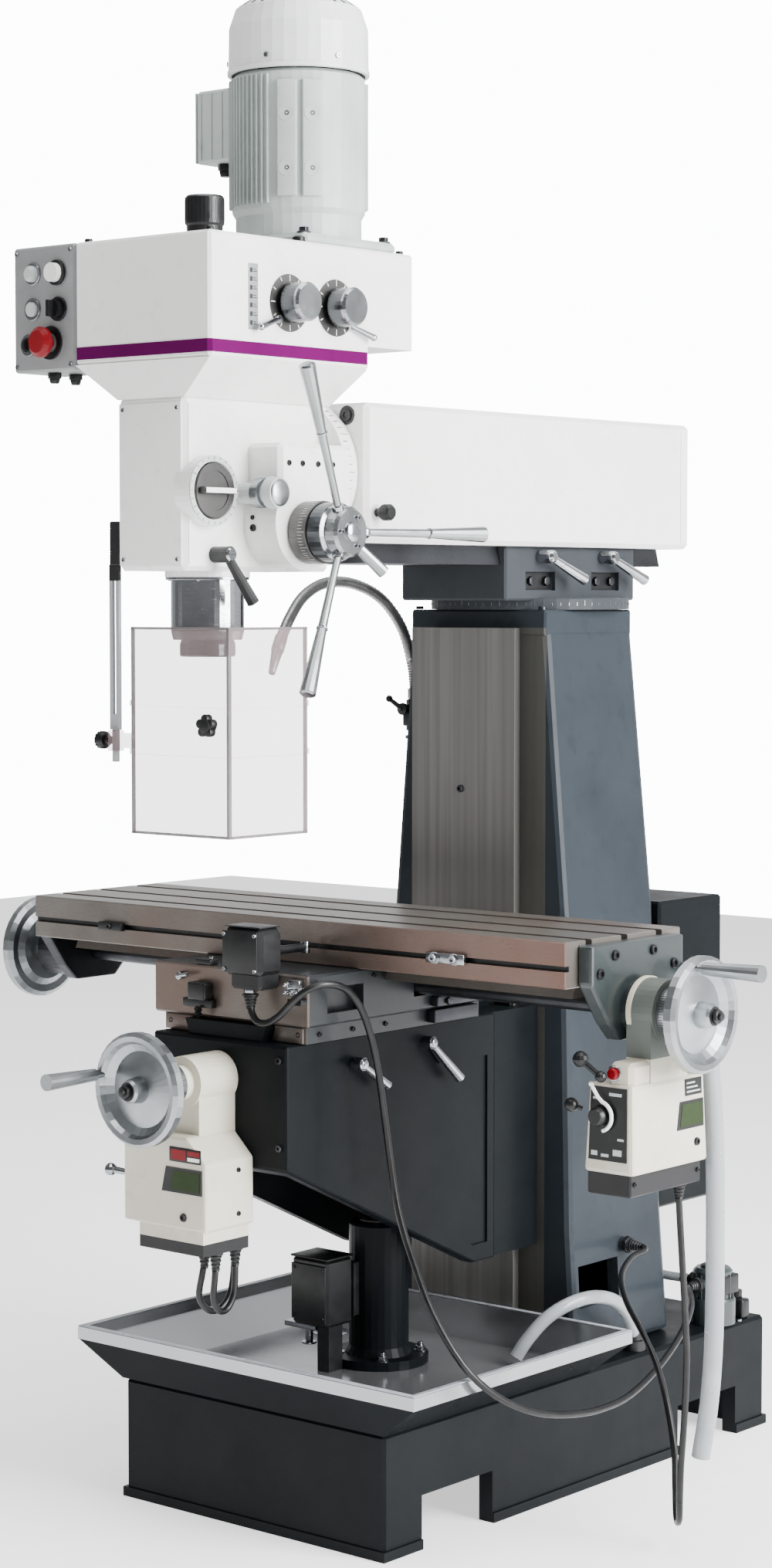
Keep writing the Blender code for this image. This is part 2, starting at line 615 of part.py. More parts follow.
def add_feed_levers():
    drum = turned("X", (0, FEED_Y, FEED_Z), [(0, 0.200), (0.030, 0.200), (0.034, 0.196), (0.034, 0.179),
                  (0.040, 0.176), (0.040, 0.1205), (0, 0.1205)], 36)
    for degrees in (0, 120, 240):
        angle = math.radians(degrees)
        out = Vector((0, math.cos(angle), math.sin(angle)))
        root = Vector((0.188, FEED_Y, FEED_Z)) + 0.020 * out
        tip = Vector((0.229, FEED_Y, FEED_Z)) + 0.246 * out
        join(drum, bar(root, root.lerp(tip, 0.60), 0.0050, 0.0062))
        join(drum, bar(root.lerp(tip, 0.57), tip, 0.0066, 0.0112))
    clutch = bar((0.188, FEED_Y + 0.016, FEED_Z - 0.014), (0.206, FEED_Y + 0.058, FEED_Z - 0.054), 0.007, 0.009)
    join(drum, clutch)
    node("feed_lever_hub", drum, "bright_steel", "feed_lever")


def add_quill_lock(head):
    hub = rod("X", (0, LOCK_Y, LOCK_Z), 0.011, (0.0625, 0.092), sides=20)
    join(hub, bar((0.084, LOCK_Y, LOCK_Z), (0.096, -0.560, 1.300), 0.006, 0.0085))
    stud(hub, head, "X", (0, LOCK_Y, LOCK_Z), 0.005, (0.055, 0.07))
    node("quill_lock_lever", hub, "black_plastic", "quill_lock")


def add_motor():
    foot = HEAD_TOP + GAP
    motor = block((-0.098, 0.098), (MOTOR_Y - 0.098, MOTOR_Y + 0.098), (foot, 1.803), 0.006)
    body = [(0, MOTOR_TOP), (0.088, MOTOR_TOP), (0.093, MOTOR_TOP - 0.005), (0.093, 1.842), (0.088, 1.834),
            (0.088, 1.80), (0, 1.80)]
    join(motor, turned("Z", (0, MOTOR_Y, 0), body, 40))
    join(motor, block((-0.155, -0.085), (MOTOR_Y - 0.045, MOTOR_Y + 0.045), (1.920, 2.022), 0.004))
    cut(motor, rod("Z", (0, MOTOR_Y, 0), 0.0083, (1.99, 2.05), sides=16))
    node("motor", motor, "motor_paint", "head")
    fan = rod("Z", (0, MOTOR_Y, 0), 0.022, (2.040, 2.066), sides=20)
    join(fan, rod("Z", (0, MOTOR_Y, 0), 0.008, (1.995, 2.045), sides=16))
    for k in range(6):
        angle = k * PI / 3
        tip = Vector((0.078 * math.cos(angle), MOTOR_Y + 0.078 * math.sin(angle), 2.053))
        blade = block((-0.0015, 0.0015), (0.010, 0.078), (2.042, 2.064))
        blade.location = (tip.x * 0.55, MOTOR_Y + (tip.y - MOTOR_Y) * 0.55, 2.053)
        blade.rotation_euler = (0, 0, angle + PI / 2)
        join(fan, blade)
    node("motor_fan", fan, "black_plastic", "fan")
    lip = MOTOR_TOP + GAP
    cowl = [(0, 2.134), (0.070, 2.134), (0.088, 2.122), (0.097, 2.096), (0.098, lip), (0, lip)]
    cowl = turned("Z", (0, MOTOR_Y, 0), cowl, 36)
    inside = [(0, 2.128), (0.068, 2.128), (0.085, 2.117), (0.093, 2.094), (0.094, 2.02), (0, 2.02)]
    cut(cowl, turned("Z", (0, MOTOR_Y, 0), inside, 32))
    node("motor_cowl", cowl, "motor_paint", "head")


def add_quill():
    quill = turned("Z", (0, SPINDLE_Y, 0), [(0, 1.560), (0.0498, 1.560), (0.0498, 1.262), (0.047, 1.250),
                   (0, 1.250)], 40)
    cut(quill, rod("Z", (0, SPINDLE_Y, 0), 0.0188, (1.2, 1.6), sides=24))
    node("quill", quill, "bright_steel", "quill")
    spindle = turned("Z", (0, SPINDLE_Y, 0), [(0, 1.800), (0.008, 1.800), (0.008, 1.755), (0.0182, 1.755),
                     (0.0182, 1.2495), (0.036, 1.2495), (0.038, 1.244), (0.038, SPINDLE_NOSE + 0.002),
                     (0.036, SPINDLE_NOSE), (0, SPINDLE_NOSE)], 32)
    cut(spindle, rod("Z", (0, SPINDLE_Y, 0), 0.013, (1.22, 1.30), 0.009, sides=24))
    node("spindle", spindle, "bright_steel", "spindle")


def add_guard(head):
    left = -0.062
    post = block((left - 0.022, left - GAP), (-0.653, -0.630), (1.350, 1.410), 0.002)
    join(post, block((POST_X - 0.009, POST_X + 0.009), (POST_Y - 0.0025, POST_Y + 0.0025), (1.1285, 1.352)))
    join(post, rod("Z", (POST_X, POST_Y, 0), 0.005, (1.085, 1.131), sides=16))
    cut(post, block((POST_X - 0.003, POST_X + 0.003), (-0.66, -0.64), (1.15, 1.33)))
    node("guard_post", post, "black_plastic", "head")

    front, right, bottom, top = -0.640, 0.125, 0.988, 1.268
    wall = 0.004
    guard = block((-0.055, right), (front, front + wall), (bottom, top))
    join(guard, block((right - wall, right), (front, -0.485), (bottom, top)))
    for z in (1.100, 1.165):
        join(guard, block((-0.0552, right + 0.0002), (front - 0.004, front + 0.002), (z - 0.004, z + 0.004)))
        join(guard, block((right - 0.002, right + 0.004), (front - 0.004, -0.485), (z - 0.004, z + 0.004)))
    join(guard, rod("Z", (POST_X, POST_Y, 0), 0.011, (1.100, 1.1275), sides=20))
    join(guard, block((POST_X + 0.006, -0.050), (-0.647, -0.638), (1.104, 1.124)))
    cut(guard, rod("Z", (POST_X, POST_Y, 0), 0.0053, (1.05, 1.2), sides=16))
    node("guard", guard, "clear_plastic", "guard")


# ---------------------------------------------------------------- knee
def add_knee():
    side = [(KNEE_FRONT, KNEE_TOP), (KNEE_FRONT, 0.528), (-0.124, 0.338), (-0.070, 0.338), (-0.070, KNEE_TOP)]
    knee = round_edges(outline("X", side, (-KNEE_HALF, KNEE_HALF)), 0.004)
    join(knee, block((-0.118, 0.118), (-0.080, 0.040), (0.338, KNEE_TOP - 0.0004)))
    clear = dovetail(WAY_HALF + 0.0004, WAY_FRONT - GAP, 0.047, 0.0235)
    cut(knee, outline("Z", clear, (0.2, 0.8)))
    guide = [(-0.066, KNEE_TOP - 0.002), (0.066, KNEE_TOP - 0.002), (0.076, 0.7215), (-0.076, 0.7215)]
    join(knee, outline("Y", guide, (KNEE_FRONT + 0.012, -0.012)))
    cut(knee, block((-0.104, 0.104), (-0.506, -0.024), (0.30, 0.600)))
    panel = [(-0.505, 0.672), (-0.505, 0.546), (-0.125, 0.364), (-0.090, 0.364), (-0.090, 0.640),
             (-0.20, 0.640), (-0.23, 0.672)]
    for side_x in (-1, 1):
        cut(knee, outline("X", panel, sorted((side_x * 0.1225, side_x * 0.15))))
    top = 0.600 - GAP
    profile = [(0, top), (0.030, top), (0.030, 0.580), (0.016, 0.576), (0.016, 0.132), (0, 0.130)]
    screw = turned("Z", (0, PEDESTAL_Y, 0), profile, 24)
    node("elevating_screw", screw, "bright_steel", "knee")
    for name, y, z, tip in KNEE_LOCKS:
        hub = rod("X", (0, y, z), 0.009, (KNEE_HALF + GAP, 0.143), sides=20)
        join(hub, bar((0.138, y, z), tip, 0.005, 0.008))
        stud(hub, knee, "X", (0, y, z), 0.004, (0.1155, 0.13))
        node("knee_lock_" + name, hub, "bright_steel", "knee_lock_" + name)
    node("knee", knee, "slate_paint", "knee")


def add_cross_feed():
    back = KNEE_FRONT - GAP
    body = [(-0.090, 0.452), (-0.090, 0.566), (-0.042, 0.578), (0.030, 0.578), (0.065, 0.545), (0.065, 0.452)]
    unit = round_edges(outline("Y", body, (-0.625, back)), 0.004)
    join(unit, block((-0.062, 0.058), (-0.622, back - 0.004), (0.418, 0.456)))
    join(unit, block((-0.030, 0.030), (-0.600, back), (0.570, CROSS_Z)))
    join(unit, rod("Y", (0, 0, CROSS_Z), 0.036, (-0.602, back), sides=32))
    join(unit, rod("Y", (0, 0, CROSS_Z), 0.024, (-0.640, -0.600), sides=28))
    join(unit, rod("Y", (0, 0, CROSS_Z), 0.008, (-0.695, -0.630), sides=16))
    node("cross_feed_unit", unit, "cream_paint", "knee")
    lever = ball(CROSS_LEVER, 0.009)
    join(lever, bar(CROSS_LEVER, (-0.140, -0.592, 0.510), 0.004, 0.005))
    join(lever, ball((-0.146, -0.594, 0.5105), 0.009))
    node("cross_feed_lever", lever, "bright_steel", "cross_lever")
    loop = [(0.020, -0.580, 0.418 - GAP), (0.020, -0.580, 0.400), (0.017, -0.582, 0.380),
            (0.010, -0.580, 0.350), (0.010, -0.562, 0.329), (0.011, -0.540, 0.327), (0.012, -0.520, 0.345),
            (0.012, -0.512, 0.385), (0.012, -0.5125, 0.43), (0.012, -0.515, 0.480), (0.012, -0.515, 0.519)]
    node("feed_cord_a", tube(loop, 0.009, 3), "cable_rubber", "knee")


def wheel(axis, place, outward, grip_at=None):
    """A dished handwheel whose dished side faces along its axis by the sign of outward."""
    s = outward
    r = WHEEL_RADIUS
    profile = [(0, 0.026), (0.013, 0.026), (0.016, 0.022), (0.018, 0.004), (0.052, -0.002), (0.062, 0.006),
               (0.066, 0.013), (0.073, 0.014), (r, 0.009), (r, -0.002), (0.071, -0.007), (0.060, -0.006),
               (0.050, -0.012), (0.022, -0.008), (0.020, -0.016), (0, -0.016)]
    if s < 0:
        profile = [(radius, -height) for radius, height in reversed(profile)]
    disc = turned(axis, place, profile, 32)
    bore = {"X": 0, "Y": 1}[axis]
    span = sorted((place[bore] + s * 0.016, place[bore] - s * 0.03))
    cut(disc, rod(axis, place, 0.0083, span, sides=16))
    if grip_at:
        start = Vector(place) + Vector(grip_at)
        way = Vector((s, 0, 0)) if axis == "X" else Vector((0, s, 0))
        join(disc, bar(start, start + 0.028 * way, 0.0055, sides=12))
        join(disc, bar(start + 0.022 * way, start + 0.112 * way, 0.0085, 0.0115, sides=16))
    return disc


# ---------------------------------------------------------------- saddle and table
def add_saddle():
    saddle = block((-SADDLE_HALF, SADDLE_HALF), (SADDLE_FRONT, -0.115), (0.7245, SADDLE_TOP), 0.003)
    join(saddle, block((-0.133, 0.133), (-0.496, -0.120), (KNEE_TOP + GAP, 0.7255)))
    table_slot = [(-0.0765 + LEADSCREW_Y, 0.7755), (0.0765 + LEADSCREW_Y, 0.7755),
                  (0.0655 + LEADSCREW_Y, 0.80), (-0.0655 + LEADSCREW_Y, 0.80)]
    cut(saddle, outline("X", table_slot, (-0.2, 0.2)))
    knee_slot = [(-0.0655, 0.69), (0.0655, 0.69), (0.0765, 0.7225), (-0.0765, 0.7225)]
    cut(saddle, outline("Y", knee_slot, (-0.6, 0.0)))
    cut(saddle, block((-0.2, 0.2), (LEADSCREW_Y - 0.013, LEADSCREW_Y + 0.013), (0.746, 0.78)))
    cut(saddle, block((0.128, 0.16), (-0.468, -0.392), (0.741, 0.776)))
    node("saddle", saddle, "ground_steel", "saddle")
    switch = block((0.030, 0.102), (-0.556, SADDLE_FRONT - GAP), (0.794, 0.860), 0.008)
    join(switch, block((0.042, 0.098), (-0.551, -0.510), (0.776, 0.800), 0.004))
    join(switch, rod("Y", (0.066, 0, 0.823), 0.006, (-0.508, -0.424), sides=16))
    join(switch, rod("Z", (0.062, -0.531, 0), 0.008, (0.768, 0.778), sides=16))
    node("limit_switch", switch, "black_plastic", "saddle")


def add_table():
    bottom = SADDLE_TOP + GAP
    table = block((-TABLE_HALF, TABLE_HALF), (TABLE_FRONT, TABLE_REAR), (bottom, TABLE_TOP), 0.0015, 1)
    guide = [(-0.0645 + LEADSCREW_Y, 0.7985), (0.0645 + LEADSCREW_Y, 0.7985),
             (0.0755 + LEADSCREW_Y, 0.776), (-0.0755 + LEADSCREW_Y, 0.776)]
    join(table, outline("X", guide, (-0.47, 0.47)))
    half = TABLE_HALF + 0.1
    for offset in (-0.080, 0.0, 0.080):
        y = LEADSCREW_Y + offset
        slot = [(y - 0.007, 0.870), (y - 0.007, 0.846), (y - 0.0125, 0.846), (y - 0.0125, 0.835),
                (y + 0.0125, 0.835), (y + 0.0125, 0.846), (y + 0.007, 0.846), (y + 0.007, 0.870)]
        cut(table, outline("X", slot, (-half, half)))
    cut(table, block((-half, half), (-0.41, TABLE_FRONT + 0.008), (0.819, 0.8265)))
    node("table", table, "ground_steel", "table")
    screw = rod("X", (0, LEADSCREW_Y, LEADSCREW_Z), 0.008, (-0.630, 0.630), sides=16)
    join(screw, rod("X", (0, LEADSCREW_Y, LEADSCREW_Z), 0.0115, (-0.498, 0.498), sides=24))
    node("table_leadscrew", screw, "dark_iron", "table")


def add_brackets():
    inner = TABLE_HALF + GAP
    face = [(-0.375, 0.852), (-0.165, 0.852), (-0.165, 0.800), (-0.205, 0.745), (-0.228, 0.722),
            (-0.312, 0.722), (-0.335, 0.745), (-0.375, 0.800)]
    for side, name, paint in ((-1, "left", "dark_iron"), (1, "right", "green_grey_paint")):
        plate = round_edges(outline("X", face, sorted((side * inner, side * 0.524))), 0.004)
        neck_end = 0.592 if side < 0 else NECK_START
        axis = (0, LEADSCREW_Y, LEADSCREW_Z)
        join(plate, rod("X", axis, 0.040, sorted((side * 0.515, side * neck_end)), sides=32))
        cut(plate, rod("X", axis, 0.0085, sorted((side * 0.45, side * 0.65)), sides=20))
        if side > 0:
            join(plate, rod("X", (0, SPOUT_Y, 0.805), 0.009, (0.515, SPOUT_X), sides=16))
            join(plate, ball((SPOUT_X, SPOUT_Y, 0.805), 0.0105))
            join(plate, rod("Z", (SPOUT_X, SPOUT_Y, 0), 0.0105, (SPOUT_Z, 0.805), sides=16))
        node("end_bracket_" + name, plate, paint, "table")


def add_table_feed():
    neck_start = NECK_START + GAP
    unit = taper((0.500, 0.580, -0.360, -0.186, 0.552), (0.506, 0.576, -0.356, -0.190, 0.672), 0.006)
    join(unit, block((0.502, 0.572), (-0.354, -0.192), (0.523, 0.556), 0.002))
    join(unit, block((neck_start, 0.574), (LEADSCREW_Y - 0.042, LEADSCREW_Y + 0.042), (0.665, LEADSCREW_Z)))
    join(unit, block((neck_start, 0.572), (-0.352, -0.235), (0.660, 0.700), 0.006))
    join(unit, rod("X", (0, LEADSCREW_Y, LEADSCREW_Z), 0.043, (neck_start, 0.576), sides=32))
    join(unit, rod("X", (0, LEADSCREW_Y, LEADSCREW_Z), 0.030, (0.57, 0.600), sides=28))
    cut(unit, rod("X", (0, LEADSCREW_Y, LEADSCREW_Z), 0.0085, (0.45, 0.65), sides=20))
    node("table_feed_unit", unit, "cream_paint", "table")
    lever = ball(TABLE_LEVER, 0.008)
    join(lever, bar(TABLE_LEVER, (0.510, -0.374, 0.700), 0.004))
    join(lever, ball((0.506, -0.375, 0.703), 0.011))
    node("table_feed_lever", lever, "black_plastic", "table_lever")


# ---------------------------------------------------------------- cables and hoses
def add_cables():
    drain = [(SPOUT_X, SPOUT_Y, SPOUT_Z - GAP), (SPOUT_X, SPOUT_Y, 0.755), (SPOUT_X, SPOUT_Y, 0.735),
             (0.562, -0.160, 0.69), (0.563, -0.150, 0.62), (0.563, -0.144, 0.53), (0.562, -0.141, 0.42),
             (0.560, -0.140, 0.30), (0.554, -0.141, 0.21), (0.542, -0.143, 0.130)]
    node("drain_hose", tube(drain, 0.026, 3), "hose_plastic", "table")

    feed = [(0.553, -0.215, 0.523 - GAP), (0.553, -0.215, 0.495), (0.5555, -0.213, 0.44),
            (0.5585, -0.211, 0.38), (0.560, -0.208, 0.33), (0.560, -0.205, 0.285), (0.557, -0.202, 0.24),
            (0.5535, -0.201, 0.19), (0.549, -0.201, 0.13), (0.546, -0.199, 0.082), (0.5385, -0.189, 0.053),
            (0.5225, -0.171, 0.042), (0.5070, -0.152, 0.053), (0.499, -0.142, 0.085), (0.491, -0.134, 0.130),
            (0.468, -0.118, 0.185), (0.432, -0.091, 0.228), (0.385, -0.060, 0.262), (0.318, -0.008, 0.290),
            (0.268, 0.050, 0.310), (0.242, 0.110, 0.3225), (0.234, 0.155, 0.325), (0.218, 0.176, 0.325),
            (0.207, 0.176, 0.325), (0.196 + GAP, 0.176, 0.325)]
    feed_pieces = (("feed_cable_top", 4, "table"), ("feed_cable_mid", 6, "saddle"),
                   ("feed_cable_low", 9, "knee"), ("feed_cable_loop", 24, None))
    cable_pieces(feed, 0.009, feed_pieces)

    switch = [(0.062, -0.531, 0.768 - GAP), (0.062, -0.531, 0.756), (0.066, -0.533, 0.742),
              (0.080, -0.536, 0.731), (0.100, -0.537, 0.732), (0.120, -0.535, 0.744),
              (0.138, -0.530, 0.763), (0.154, -0.519, 0.779),
              (0.167, -0.498, 0.786), (0.174, -0.465, 0.778), (0.176, -0.436, 0.752), (0.178, -0.415, 0.710),
              (0.180, -0.400, 0.655), (0.183, -0.391, 0.595), (0.189, -0.386, 0.535), (0.199, -0.385, 0.480),
              (0.214, -0.388, 0.440), (0.235, -0.392, 0.400), (0.275, -0.399, 0.335), (0.318, -0.388, 0.270),
              (0.342, -0.345, 0.222), (0.354, -0.270, 0.185), (0.358, -0.183, 0.166), (0.356, -0.110, 0.160),
              (0.350, -0.040, 0.164), (0.338, 0.045, 0.185), (0.312, 0.140, 0.212), (0.272, 0.225, 0.232),
              (0.228, 0.285, 0.240), (PUMP_X, 0.306, 0.240), (PUMP_X, 0.316, 0.240),
              (PUMP_X, PUMP_GLAND_Y - GAP, 0.240)]
    switch_pieces = (("switch_cable_short", 15, "saddle"), ("switch_cable_long", 31, "knee"))
    cable_pieces(switch, 0.010, switch_pieces)


def add_machine():
    add_axes()
    add_base()
    add_tray()
    add_column()
    add_pedestal()
    add_pump()
    add_cabinet()
    add_coolant()
    add_turret()
    add_ram()
    head = add_head()
    add_head_fittings(head)
    add_feed_levers()
    add_quill_lock(head)
    add_motor()
    add_quill()
    add_guard(head)
    node("head_housing", head, "white_paint", "head")
    add_knee()
    add_cross_feed()
    grip = (-0.066, 0, 0.016)
    cross = wheel("Y", (0, CROSS_WHEEL_Y, CROSS_Z), -1, grip)
    node("cross_handwheel", cross, "cast_aluminium", "cross_wheel")
    add_saddle()
    add_table()
    add_brackets()
    left = wheel("X", (-WHEEL_X, LEADSCREW_Y, LEADSCREW_Z), -1)
    node("handwheel_left", left, "cast_aluminium", "wheel_left")
    right = wheel("X", (WHEEL_X, LEADSCREW_Y, LEADSCREW_Z), 1, (0, -0.020, 0.064))
    node("handwheel_right", right, "cast_aluminium", "wheel_right")
    add_table_feed()
    add_cables()


add_machine()
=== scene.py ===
"""The look of a knee-type vertical milling machine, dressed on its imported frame.

Metres, +Z up. The origin is the centre of the base's footprint on the floor,
+X is the operator's right and +Y runs back from the operator to the column.
"""

import itertools
import math

import bmesh
import bpy
from mathutils import Matrix, Vector


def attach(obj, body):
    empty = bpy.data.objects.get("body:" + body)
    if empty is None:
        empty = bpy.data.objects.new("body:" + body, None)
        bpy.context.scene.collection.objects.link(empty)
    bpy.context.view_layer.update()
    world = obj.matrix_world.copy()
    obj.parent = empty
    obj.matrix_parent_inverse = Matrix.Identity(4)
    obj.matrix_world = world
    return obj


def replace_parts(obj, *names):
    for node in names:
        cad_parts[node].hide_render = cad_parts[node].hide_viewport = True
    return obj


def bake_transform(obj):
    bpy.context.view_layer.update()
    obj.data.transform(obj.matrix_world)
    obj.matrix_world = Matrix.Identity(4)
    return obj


PI = math.pi
GAP = 0.0003  # how far a stuck-on piece stands off its face
SHARP = 35  # degrees between two faces from which their edge stays sharp
X, Y, Z = Vector((1, 0, 0)), Vector((0, 1, 0)), Vector((0, 0, 1))

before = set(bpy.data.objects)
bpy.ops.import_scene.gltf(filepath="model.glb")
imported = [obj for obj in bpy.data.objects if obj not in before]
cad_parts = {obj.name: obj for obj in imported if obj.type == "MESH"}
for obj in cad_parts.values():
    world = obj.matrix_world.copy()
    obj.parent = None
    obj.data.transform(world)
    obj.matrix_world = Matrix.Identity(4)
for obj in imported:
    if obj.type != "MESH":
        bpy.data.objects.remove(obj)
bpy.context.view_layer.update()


# ---------------------------------------------------------------- materials
class Look:
    """A procedural material: a Principled shader with noise on its colour, roughness and bump."""

    def __init__(self, name, colour, roughness, metallic=0.0, **sockets):
        self.material = bpy.data.materials.new(name)
        self.material.use_nodes = True
        self.tree = self.material.node_tree
        self.shader = self.tree.nodes["Principled BSDF"]
        self.colour = (*colour, 1.0)
        self.shader.inputs["Base Color"].default_value = self.colour
        self.shader.inputs["Roughness"].default_value = roughness
        self.shader.inputs["Metallic"].default_value = metallic
        for socket, value in sockets.items():
            self.shader.inputs[socket.replace("_", " ")].default_value = value
        self.coords = self.tree.nodes.new("ShaderNodeTexCoord").outputs["Object"]
        self.base = None
        self.normal = None

    def link(self, source, target):
        self.tree.links.new(source, target)

    def noise(self, scale, stretch=(1, 1, 1), detail=3.0, roughness=0.55):
        mapping = self.tree.nodes.new("ShaderNodeMapping")
        mapping.inputs["Scale"].default_value = stretch
        self.link(self.coords, mapping.inputs["Vector"])
        noise = self.tree.nodes.new("ShaderNodeTexNoise")
        noise.inputs["Scale"].default_value = scale
        noise.inputs["Detail"].default_value = detail
        noise.inputs["Roughness"].default_value = roughness
        self.link(mapping.outputs["Vector"], noise.inputs["Vector"])
        return noise.outputs["Fac"]

    def span(self, value, low, high, to_low=0.0, to_high=1.0):
        remap = self.tree.nodes.new("ShaderNodeMapRange")
        for socket, number in (("From Min", low), ("From Max", high), ("To Min", to_low),
                               ("To Max", to_high)):
            remap.inputs[socket].default_value = number
        self.link(value, remap.inputs["Value"])
        return remap.outputs["Result"]

    def axis(self, letter, vector=None):
        split = self.tree.nodes.new("ShaderNodeSeparateXYZ")
        self.link(vector or self.coords, split.inputs["Vector"])
        return split.outputs[letter]

    def math(self, operation, a, b):
        node = self.tree.nodes.new("ShaderNodeMath")
        node.operation = operation
        for socket, value in zip(node.inputs, (a, b)):
            if isinstance(value, (int, float)):
                socket.default_value = value
            else:
                self.link(value, socket)
        return node.outputs["Value"]

    def below(self, letter, value, node=None):
        """1 where a coordinate is under a value, which is in the world's frame where a node is named."""
        return self.math("LESS_THAN", self.axis(letter), local(node, letter, value) if node else value)

    def above(self, letter, value, node=None):
        return self.math("GREATER_THAN", self.axis(letter), local(node, letter, value) if node else value)

    def both(self, a, b):
        return self.math("MULTIPLY", a, b)

    def outside(self, mask):
        return self.math("SUBTRACT", 1.0, mask)

    def tint(self, factor, colour):
        """Mixes another colour into the base colour where factor is 1."""
        mix = self.tree.nodes.new("ShaderNodeMix")
        mix.data_type = "RGBA"
        self.link(factor, mix.inputs["Factor"])
        if self.base is None:
            mix.inputs[6].default_value = self.colour
        else:
            self.link(self.base, mix.inputs[6])
        mix.inputs[7].default_value = (*colour, 1.0)
        self.base = mix.outputs[2]
        self.link(self.base, self.shader.inputs["Base Color"])
        return self

    def drive(self, socket, value):
        self.link(value, self.shader.inputs[socket])
        return self

    def bump(self, height, distance, strength=0.5):
        bump = self.tree.nodes.new("ShaderNodeBump")
        bump.inputs["Strength"].default_value = strength
        bump.inputs["Distance"].default_value = distance
        self.link(height, bump.inputs["Height"])
        if self.normal is not None:
            self.link(self.normal, bump.inputs["Normal"])
        self.normal = bump.outputs["Normal"]
        self.link(self.normal, self.shader.inputs["Normal"])
        return self


def paint(name, colour, roughness, dark, peel=0.00012, casting=0.0004, **sockets):
    """Sprayed paint on a casting: orange peel, soft waves under it and faint grime."""
    look = Look(name, colour, roughness, **sockets)
    look.tint(look.span(look.noise(5.0, detail=5.0), 0.45, 0.75), dark)
    grime = look.span(look.noise(38.0, detail=6.0), 0.56, 0.8, 0.0, 0.5)
    look.tint(grime, [c * 0.82 for c in dark])
    look.drive("Roughness", look.span(look.noise(14.0), 0.3, 0.7, roughness - 0.06, roughness + 0.08))
    look.bump(look.noise(9.0), casting, 0.5)
    look.bump(look.noise(420.0, detail=2.0), peel, 0.4)
    return look


def metal(name, colour, roughness, brushing, dark, scratch=0.00006, **sockets):
    """Ground or turned metal: fine lines along one way, stains and uneven shine."""
    look = Look(name, colour, roughness, 1.0, **sockets)
    lines = look.noise(60.0, brushing, 4.0, 0.7)
    look.tint(look.span(look.noise(7.0, detail=5.0), 0.42, 0.78), dark)
    look.tint(look.span(lines, 0.45, 0.75, 0.0, 0.55), [c * 0.7 for c in dark])
    look.drive("Roughness", look.span(lines, 0.3, 0.7, roughness - 0.07, roughness + 0.12))
    look.bump(lines, scratch, 0.6)
    return look


def satin(name, colour, roughness, dark, **sockets):
    """Smooth cast and polished metal: soft clouds in its colour and shine."""
    look = Look(name, colour, roughness, 1.0, **sockets)
    look.tint(look.span(look.noise(11.0, detail=3.0), 0.35, 0.75, 0.0, 0.8), dark)
    look.drive("Roughness", look.span(look.noise(24.0), 0.3, 0.7, roughness - 0.05, roughness + 0.07))
    look.bump(look.noise(160.0, detail=2.0), 0.00002, 0.3)
    return look


def plastic(name, colour, roughness, grain=0.00005, **sockets):
    """Moulded plastic or rubber, with a fine grain and a little dust."""
    look = Look(name, colour, roughness, **sockets)
    dust = [min(1.0, c * 1.25 + 0.012) for c in colour]
    look.tint(look.span(look.noise(22.0, detail=5.0), 0.5, 0.8, 0.0, 0.6), dust)
    look.drive("Roughness", look.span(look.noise(55.0), 0.3, 0.7, roughness - 0.05, roughness + 0.08))
    look.bump(look.noise(900.0, detail=2.0), grain, 0.5)
    return look


